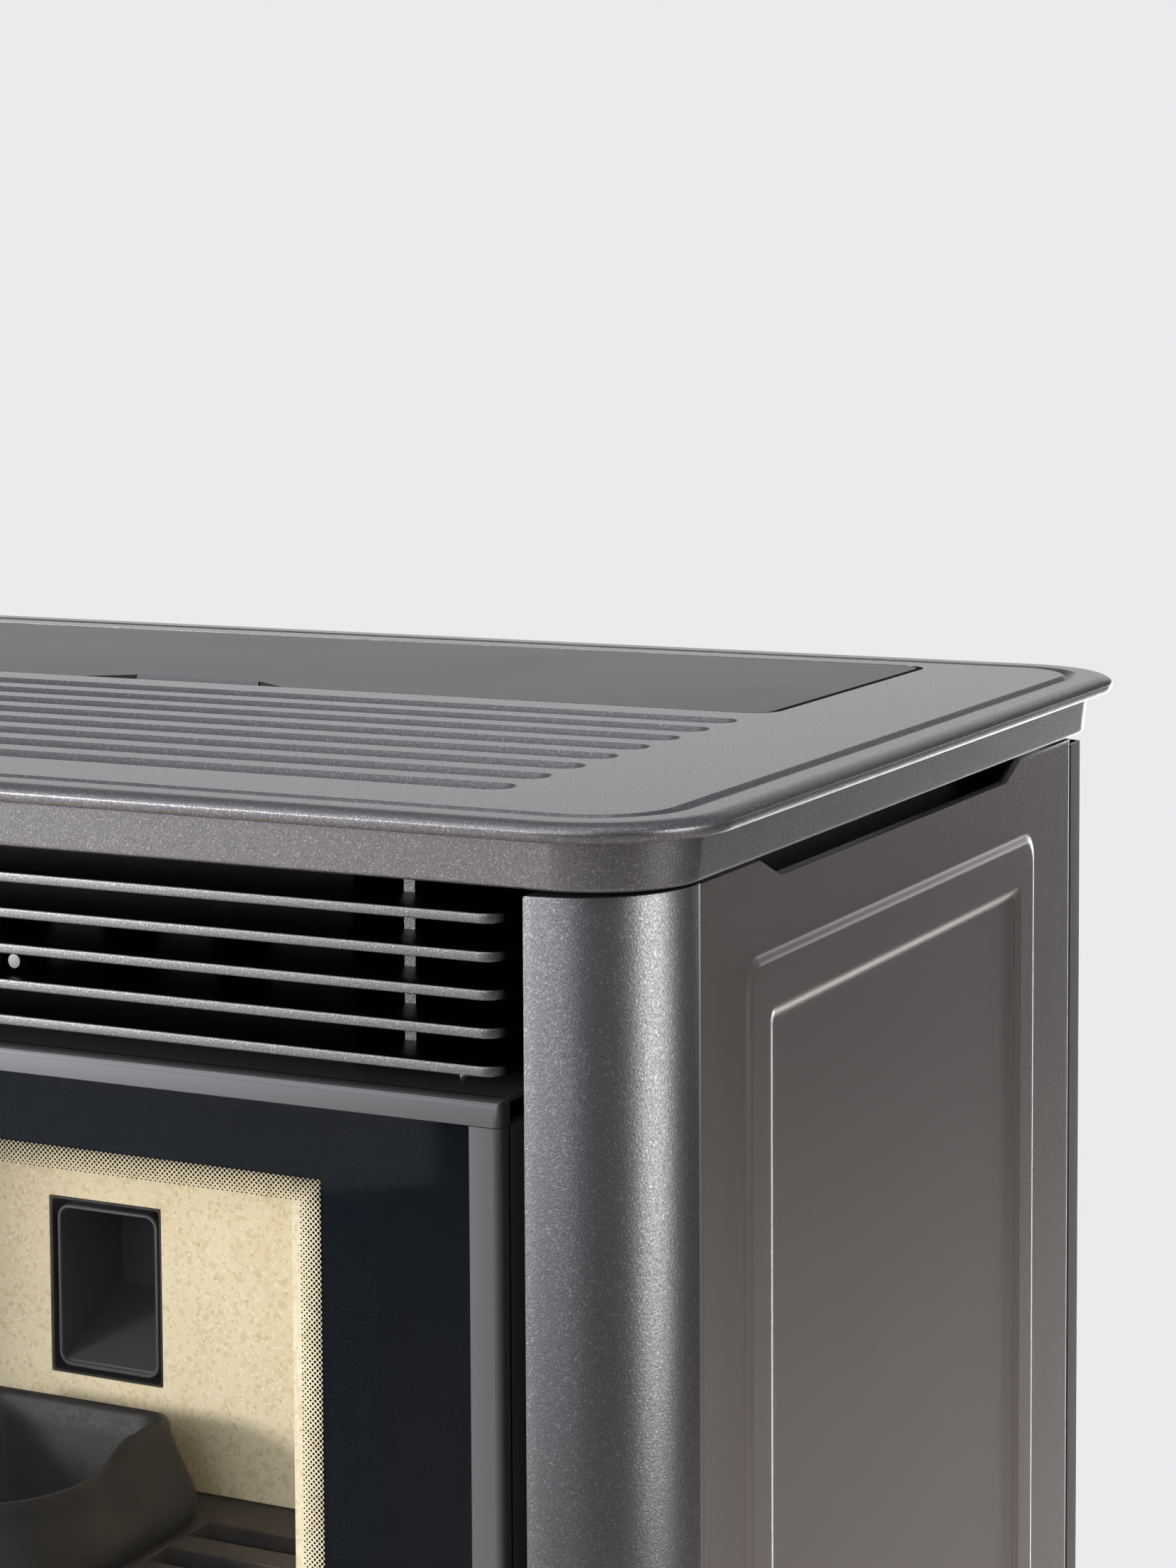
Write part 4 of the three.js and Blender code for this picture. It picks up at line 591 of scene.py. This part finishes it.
def buildSidePanels():
    s = panelSize
    f = s["fold"]

    def contour(inset, extra=0.0):
        drop = inset * 0.1 + extra
        y0, y1, z0, z1 = s["front"] + inset, s["rear"] - inset, s["low"] + drop, s["high"] - drop
        n = s["notch"] - drop
        return [(y0, z0), (y1, z0), (y1, z1), (s["notchRear"] + s["slope"], z1), (s["notchRear"], n),
                (s["notchFront"], n), (s["notchFront"] - s["slope"], z1), (y0, z1)]

    # The pressed band's outline; its corners get tighter towards the field
    def band(inset):
        y0, y1 = s["bandFront"] + inset, s["bandRear"] - inset
        z0, z1 = s["bandLow"] + inset, s["bandTop"] - inset
        return roundRect(y0, y1, z0, z1, s["radius"] - inset * s["taper"], 10)

    # Turns a shell over when its first faces look into the stove
    def faceOutward(points, faces):
        a, b, c = (Vector(points[i]) for i in faces[0][:3])
        if (b - a).cross(c - a).x > 0:
            return points, faces
        return points, [tuple(reversed(face)) for face in faces]

    face, margin = s["x"], s["margin"]
    shells = []
    edge = contour(f + margin, margin)
    hole = band(-margin)
    flat = [[Vector((y, z, 0)) for y, z in edge], [Vector((y, z, 0)) for y, z in reversed(hole)]]
    triangles = tessellate_polygon(flat)
    points = [(face, y, z) for y, z in edge] + [(face, y, z) for y, z in reversed(hole)]
    faces = []
    for t in triangles:
        a, b, c = (Vector(points[i]) for i in t)
        faces.append(tuple(t) if (b - a).cross(c - a).x > 0 else tuple(reversed(t)))
    shells.append((points, faces))
    # Rolled outer edge and the fold behind it
    rolled = [[(face, y, z) for y, z in edge]]
    for k in range(5):
        angle = k / 4 * math.pi / 2
        x = face - f * (1 - math.cos(angle))
        rolled.append([(x, y, z) for y, z in contour(f * (1 - math.sin(angle)))])
    rolled.append([(face - s["sheet"] - f, y, z) for y, z in contour(0)])
    shells.append(faceOutward(*loftRings(rolled, caps=False)))
    # Relief, from the outer shoulder to the sunken field
    profile = [(-margin, 0), (0, 0)]
    h, run = s["rise"], s["shoulder"]
    for k in range(1, 11):
        t = k / 10
        profile.append((run * t, h * (0.5 - 0.5 * math.cos(math.pi * t))))
    start = s["band"] - run / 2
    profile += [(run + margin, h), (start - margin, h)]
    for k in range(11):
        t = k / 10
        profile.append((start + run * t, h * (0.5 + 0.5 * math.cos(math.pi * t))))
    profile.append((profile[-1][0] + margin, 0))
    rings = [[(face + rise, y, z) for y, z in band(inset)] for inset, rise in profile]
    shells.append(faceOutward(*loftRings(rings, caps=False)))
    last = [(face, y, z) for y, z in band(profile[-1][0])]
    shells.append(faceOutward(last, [tuple(range(len(last)))]))
    right = gather(*shells)
    for name, shell in (("right", right), ("left", mirrorX(right))):
        piece = makePiece(f"{name}SidePanel", *shell, "stove", "sheetPaint", "satin_paint",
                          [f"{name}_side_panel"], angle=50)
        addWeld(piece, 0.02)
        thick = piece.modifiers.new("sheet", "SOLIDIFY")
        thick.thickness = s["gauge"] * mm
        thick.offset = -1


buildSidePanels()
print("stage: side panels")


# Fire glass: a clear pane, and behind it a black printed border that fades into dots
glassSize = {
    "printHalfX": 235.5, "printTop": 894, "printLow": 644, "paneHalf": 311, "paneLow": 622, "paneTop": 932,
    "front": -241.7, "back": -236.7, "printGap": 0.3,
    "dotPitch": 2.15, "dotRows": 8, "dotEdge": 0.74, "dotFirst": 0.66, "dotLast": 0.38,
}


def buildGlass():
    s = glassSize
    wide, narrow = s["paneHalf"], s["printHalfX"]
    pane = boxShell(-wide, wide, s["front"], s["back"] - s["printGap"], s["paneLow"], s["paneTop"])
    makePiece("firePane", *pane, "door", "fireGlass", "glass", ["door_glass"], bevel=0.3)
    y = s["back"] - s["printGap"] / 2
    outer = [(-wide, s["paneLow"]), (wide, s["paneLow"]), (wide, s["paneTop"]), (-wide, s["paneTop"])]
    low, high = s["printLow"], s["printTop"]
    inner = [(-narrow, low), (narrow, low), (narrow, high), (-narrow, high)]
    points = [(x, y, z) for x, z in outer + inner]
    faces = [(j, (j + 1) % 4, 4 + (j + 1) % 4, 4 + j) for j in range(4)]
    base = len(points)
    # Staggered dots that shrink towards the clear window; the outermost row scallops the edge of the print
    half = s["dotPitch"] / 2
    octagon = [(math.cos(k * math.pi / 4), math.sin(k * math.pi / 4)) for k in range(8)]
    columns = round(narrow / half)
    lines = round((high - low) / half)
    for i in range(-columns, columns + 1):
        for j in range(lines + 1):
            row = min(columns - abs(i), j, lines - j)
            if (i + j) % 2 or row > s["dotRows"]:
                continue
            fade = (row - 1) / (s["dotRows"] - 1)
            r = s["dotEdge"] if row == 0 else s["dotFirst"] + (s["dotLast"] - s["dotFirst"]) * fade
            x = i * narrow / columns
            z = low + j * (high - low) / lines
            points += [(x + r * u, y, z + r * v) for u, v in octagon]
            faces.append(tuple(range(base, base + 8)))
            base += 8
    makePiece("glassPrint", points, faces, "door", "enamelPrint", "glass")


buildGlass()
print("stage: glass")


# Bent sheet frame of the door: outer edges roll over a 3 mm bend, a hairline joint parts rail and stile
doorSize = {
    "half": 318, "front": -250, "lip": 8, "low": 925, "top": 934.5, "joint": 0.3,
    "stile": 12.5, "stileLow": 634.3, "wall": 4, "depth": 24,
    "returnDepth": 45, "sheet": 2, "bend": 3.1, "screwX": 286, "screwY": -216,
}


# Rounds the box edges that run through two given planes, each plane named by its axis and its place
def roundEdges(obj, pairs, radius):
    shape = bmesh.new()
    shape.from_mesh(obj.data)
    chosen = []
    for edge in shape.edges:
        for pair in pairs:
            if all(abs(v.co[axis] - place * mm) < 1e-5 for v in edge.verts for axis, place in pair):
                chosen.append(edge)
                break
    bmesh.ops.bevel(shape, geom=chosen, offset=radius * mm, segments=5, profile=0.5, affect="EDGES",
                    clamp_overlap=True)
    shape.to_mesh(obj.data)
    shape.free()
    smoothShade(obj.data, 40)


def buildDoorFrame():
    s = doorSize
    half, front, high = s["half"], s["front"], s["top"]
    lipBack = front + s["lip"]
    rail = boxShell(-half, half, front, lipBack, s["low"], high)
    plate = boxShell(-half + 1, half - 1, lipBack - 1, front + s["returnDepth"], high - s["sheet"], high)
    piece = makePiece("doorTopRail", *gather(rail, plate), "door", "framePaint", "satin_paint",
                      ["door_top_rail"])
    edges = [((1, front), (2, high)), ((0, half), (1, front)), ((0, -half), (1, front))]
    roundEdges(piece, edges, s["bend"])
    joint = s["low"] - s["joint"]
    face = boxShell(half - s["stile"], half, front, lipBack, s["stileLow"], joint)
    side = boxShell(half - s["wall"], half, lipBack - 1, front + s["depth"], s["stileLow"], joint)
    piece = makePiece("doorRightStile", *gather(face, side), "door", "framePaint", "satin_paint",
                      ["door_right_stile"])
    roundEdges(piece, [((0, half), (1, front))], s["bend"])
    # Low-headed screws in the top return
    profile = [(2.6, 0.0), (2.6, 0.5), (2.2, 0.95), (1.2, 1.25), (0.9, 1.2), (0.8, 0.5), (0.1, 0.45)]
    heads = [lathe(profile, (x, s["screwY"], high), "z", 20) for x in (-s["screwX"], s["screwX"])]
    makePiece("doorScrews", *gather(*heads), "door", "zincSteel", "zinc_steel")


buildDoorFrame()
print("stage: door frame")


# Pellet drop: a rounded sheet mouth just clear of its cut-out, with a ramp that the pellets slide down
chuteSize = {
    "half": 27.4, "low": 728, "high": 804, "corner": 6.5, "wall": 1.8, "front": -32.5, "back": 18,
    "rampLow": 731, "rampHigh": 754,
    "collar": 30.2, "collarLow": 725.3, "collarHigh": 807.7,
    "collarFront": -33.6, "collarBack": -12, "collarWall": 1.0,
}


def buildChute():
    s = chuteSize

    def ring(inset, y):
        flat = roundRect(-s["half"] + inset, s["half"] - inset, s["low"] + inset, s["high"] - inset,
                         s["corner"] - inset, 8)
        return [(x, y, z) for x, z in reversed(flat)]

    front, back, w = s["front"], s["back"], s["wall"]
    tube = loftRings([ring(0.5, front), ring(0, front + 0.5), ring(0, back), ring(w, back),
                      ring(w, front + 0.5), ring(w - 0.5, front)], looped=True)
    inside = s["half"] - w
    y0, y1, z0, z1 = front + 1.5, back, s["rampLow"], s["rampHigh"]
    section = [(y0, z0 - 1), (y1, z0 - 1), (y1, z1), (y0, z0)]
    ramp = loftRings([[(x, y, z) for y, z in section] for x in (-inside, inside)])
    end = boxShell(-s["half"], s["half"], back - 0.2, back + 1.6, s["low"], s["high"])
    # Thin collar that lines the cut-out in the board
    collar = []
    y0, y1, w = s["collarFront"], s["collarBack"], s["collarWall"]
    for inset, y in ((0, y0), (0, y1), (w, y1), (w, y0)):
        x1 = s["collar"] - inset
        flat = roundRect(-x1, x1, s["collarLow"] + inset, s["collarHigh"] - inset, 2)
        collar.append([(x, y, z) for x, z in reversed(flat)])
    makePiece("chuteCollar", *loftRings(collar, looped=True), "stove", "blackSteel", "black_steel")
    makePiece("chuteMouth", *gather(tube, ramp, end), "stove", "chuteSteel", "black_steel", ["pellet_chute"])


buildChute()
print("stage: pellet drop")


# Fire pot: cast bowl with a rounded front, soft shoulders and a rim that sinks towards the front
potSize = {
    "half": 55, "back": -58, "centre": -125, "corner": 12, "rim": 724, "wall": 7, "bulge": 14, "neck": 5,
    "seat": 679.3, "floor": 654, "bottom": 646, "dip": 9.0, "dipFrom": -98, "dipRun": 14,
}


def buildPot():
    s = potSize
    seat, rim, floor, dip = s["seat"], s["rim"], s["floor"], s["dip"]
    wall, bulge, neck = s["wall"], s["bulge"], s["neck"]

    # Outline at height z: two corners at the back, straight sides and a half-round front, lower by sink
    def ring(offset, z, sink=0.0):
        half = s["half"] + offset
        corner = s["corner"] + max(offset, 0)
        cornerY = s["back"] + offset * 0.7 - corner
        turns = [i / 6 * math.pi / 2 for i in range(7)]
        sides = [cornerY + (s["centre"] - cornerY) * i / 5 for i in range(1, 5)]
        front = [math.pi + i / 32 * math.pi for i in range(33)]
        bend = [(half - corner + corner * math.cos(a), cornerY + corner * math.sin(a)) for a in turns]
        flat = bend + [(-x, y) for x, y in reversed(bend)]
        flat += [(-half, y) for y in sides]
        flat += [(half * math.cos(a), s["centre"] + half * math.sin(a)) for a in front]
        flat += [(half, y) for y in reversed(sides)]
        out = []
        for x, y in flat:
            t = min(1.0, max(0.0, (s["dipFrom"] - y) / s["dipRun"]))
            out.append((x, y, z - sink * t * t * (3 - 2 * t)))
        return out

    # Up the outside, over the lip and down the inside
    rings = [
        ring(-11, s["bottom"]), ring(-neck, seat - 0.2), ring(bulge - 3, seat - 0.1),
        ring(bulge, seat + 2.5), ring(bulge + 0.6, seat + 7), ring(bulge - 1.5, seat + 14),
        ring(bulge * 0.6, seat + 22, dip * 0.5), ring(bulge * 0.26, seat + 31, dip),
        ring(1.2, rim - 7, dip), ring(0.3, rim - 2.5, dip), ring(-0.8, rim - 0.6, dip),
        ring(-2.4, rim, dip), ring(-wall + 2.0, rim - 0.4, dip), ring(-wall - 0.4, rim - 2.6, dip),
        ring(-wall - 3, rim - 14, dip * 0.6), ring(-wall - 7, rim - 32),
        ring(-neck - wall - 9, floor + 4), ring(-neck - wall - 13, floor),
    ]
    makePiece("firePot", *loftRings(rings), "burn_pot", "potIron", "cast_iron", ["burn_pot"], angle=60)


buildPot()
print("stage: fire pot")


# Rear fixings: domed screws down both edges of the panel, and the three contact pins inside the mains inlet
rearSize = {
    "face": 237, "screwX": 366, "screwZ": (84, 300, 516, 732, 948), "head": 3.9, "dome": 1.9,
    "pinAt": ((-307, 113.5), (-300, 116.9), (-293, 113.5)), "pinHalf": (1, 2),
    "pinFrom": 221.2, "pinTo": 236.4,
}


def buildRearFixings():
    s = rearSize
    r, h = s["head"], s["dome"]
    profile = [(r, -0.4), (r, 0.3 * h), (0.85 * r, 0.72 * h), (0.55 * r, h), (0.42 * r, 0.97 * h),
               (0.36 * r, 0.45 * h), (0.05, 0.4 * h)]
    places = [(x, s["face"], z) for x in (-s["screwX"], s["screwX"]) for z in s["screwZ"]]
    heads = [lathe(profile, at, "y", 24) for at in places]
    makePiece("rearScrews", *gather(*heads), "stove", "zincSteel", "zinc_steel")
    w, d = s["pinHalf"]
    pins = [boxShell(x - w, x + w, s["pinFrom"], s["pinTo"], z - d, z + d) for x, z in s["pinAt"]]
    makePiece("inletPins", *gather(*pins), "stove", "zincSteel", "zinc_steel")


buildRearFixings()
print("stage: rear fixings")


# The other CAD nodes keep their shapes: per finish, the nodes and the width of their softened edges
kept = {
    "castPaint": (["base_plinth"], 1.6),
    "sheetPaint": (["lower_front_panel", "ash_drawer_front"], 0.9),
    "rearPaint": (["rear_panel"], 0.9),
    "framePaint": (["door_bottom_rail", "door_left_stile"], 0.8),
    "lidPaint": (["hopper_lid"], 0.5),
    "blackSteel": (["auger_motor", "firebox_front_plate", "firebox_shell", "heat_exchanger",
                    "exhaust_fan_housing", "exhaust_fan_motor", "room_fan_motor", "flue_spigot",
                    "door_inner_frame"], 0.5),
    "zincSteel": (["chassis", "right_lid_hinge", "left_lid_hinge", "hopper", "auger_tube", "auger_screw",
                   "igniter", "exhaust_fan_wheel", "room_fan_drum", "room_fan_housing", "air_intake_pipe",
                   "door_hinge_pin_lower", "door_hinge_pin_upper", "latch_knob", "latch_spindle",
                   "ash_drawer"], 0.3),
    "vermiculite": (["vermiculite_back", "right_vermiculite_side", "left_vermiculite_side",
                     "baffle_plate"], 0.8),
    # the scraper rod takes the darker, painted-shade copy of the zinc steel
    "shadedRodSteel": (["tube_scraper"], 0.3),
    "grateIron": (["grate_plate"], 0.9),
    "fibreRope": (["lid_gasket", "door_gasket"], 1.2),
    "mouldedPlastic": (["front_left_foot", "rear_left_foot", "front_right_foot", "rear_right_foot",
                        "mains_inlet", "rocker_switch", "control_box"], 0.5),
    "enamelPrint": (["touch_panel"], 0.4),
}
for material, (names, width) in kept.items():
    for name in names:
        dress(name, material, width)
print("stage: kept nodes dressed")


# Studio floor: pale and seamless to the eye, but a darker, warmer floor in what the paint reflects
def buildFloor():
    size = 60
    corners = [(-size, -size, 0), (size, -size, 0), (size, size, 0), (-size, size, 0)]
    mesh = bpy.data.meshes.new("studioFloor")
    mesh.from_pydata(corners, [], [(0, 1, 2, 3)])
    floor = bpy.data.objects.new("studioFloor", mesh)
    scene.collection.objects.link(floor)
    material, tree, shader, place = startMaterial("studioFloor", Roughness=0.95, Specular_IOR_Level=0.1)
    reach = addNode(tree, "ShaderNodeVectorMath", {0: place}, operation="LENGTH").outputs["Value"]
    tone = mixColour(tree, ramp(tree, reach, 0.7, 1.5), srgb("#B8AEA6"), srgb("#C8C0BA"))
    tone = mixColour(tree, ramp(tree, reach, 1.9, 4.5), tone, srgb("#5E5D60"))
    tree.links.new(tone, shader.inputs["Base Color"])
    # painted contact shadow: the floor's glow, which only the camera sees, dims near the stove by ambient
    # occlusion
    contact = addNode(tree, "ShaderNodeAmbientOcclusion", {"Distance": 0.45}, samples=8).outputs["AO"]
    pale = mixColour(tree, ramp(tree, contact, 0.35, 0.95), srgb("#A9A7AA"), srgb("#ECEAED"))
    glow = addNode(tree, "ShaderNodeEmission", {"Color": pale})
    seen = addNode(tree, "ShaderNodeLightPath").outputs["Is Camera Ray"]
    both = addNode(tree, "ShaderNodeMixShader", {
        0: seen, 1: shader.outputs["BSDF"], 2: glow.outputs["Emission"],
    })
    tree.links.new(both.outputs["Shader"], tree.nodes["Material Output"].inputs["Surface"])
    mesh.materials.append(material)


# Studio room: grey walls and a paler ceiling light the metal; the backdrop itself is nearly white
def buildRoom():
    world = bpy.data.worlds.new("studio")
    scene.world = world
    world.use_nodes = True
    tree = world.node_tree
    back = tree.nodes["Background"]
    direction = addNode(tree, "ShaderNodeTexCoord").outputs["Generated"]
    height = addNode(tree, "ShaderNodeSeparateXYZ", {"Vector": direction}).outputs["Z"]
    seen = addNode(tree, "ShaderNodeLightPath").outputs["Is Camera Ray"]
    room = mixColour(tree, ramp(tree, height, 0.05, 0.8), srgb("#4A494C"), srgb("#A5A4A8"))
    tree.links.new(mixColour(tree, seen, room, srgb("#ECEAED")), back.inputs["Color"])
    back.inputs["Strength"].default_value = 1.0


# A soft box or lit card: turn is its bearing from straight ahead (-Y) towards +X, lengths are in metres, and
# aim is the height that it looks at
def addSoftbox(name, turn, distance, height, size, power, colour="#FFFFFF", aim=0.75):
    data = bpy.data.lights.new(name, "AREA")
    data.shape = "RECTANGLE"
    data.size, data.size_y = size
    data.energy = power
    data.color = srgb(colour)[:3]
    lamp = bpy.data.objects.new(name, data)
    scene.collection.objects.link(lamp)
    bearing = math.radians(turn)
    place = Vector((distance * math.sin(bearing), -distance * math.cos(bearing), height))
    lamp.location = place
    lamp.rotation_mode = "QUATERNION"
    lamp.rotation_quaternion = (Vector((0, 0, aim)) - place).to_track_quat("-Z", "Y")
    lamp.visible_camera = False


buildFloor()
buildRoom()
addSoftbox("overhead", -20, 0.5, 3.3, (2.4, 2.4), 11)
addSoftbox("highFrontBox", -14, 2.2, 2.6, (3.0, 2.6), 34, aim=1.0)
addSoftbox("rightSoftbox", 88, 2.6, 1.45, (1.15, 1.85), 32, "#FFFCF8")
addSoftbox("frontCard", 0, 3.2, 1.52, (2.8, 1.5), 14.5, "#F2F4FA", aim=1.25)
addSoftbox("frontLeftCard", -39, 3.2, 1.05, (1.9, 2.05), 30, "#F2F4FA", aim=1.0)
addSoftbox("keySoftbox", -42, 3.1, 1.4, (0.6, 0.6), 74, "#FFF8EC")
addSoftbox("backCard", 208, 3.2, 1.55, (3.4, 1.1), 12, aim=1.3)
addSoftbox("rearRightCard", 157, 3.6, 1.0, (1.4, 0.46), 2.9, aim=1.0)
addSoftbox("lowBackCard", 172.3, 1.36, 0.5, (0.6, 1.0), 15, aim=0.5)
scene.view_settings.view_transform = "Standard"
print("stage: studio")
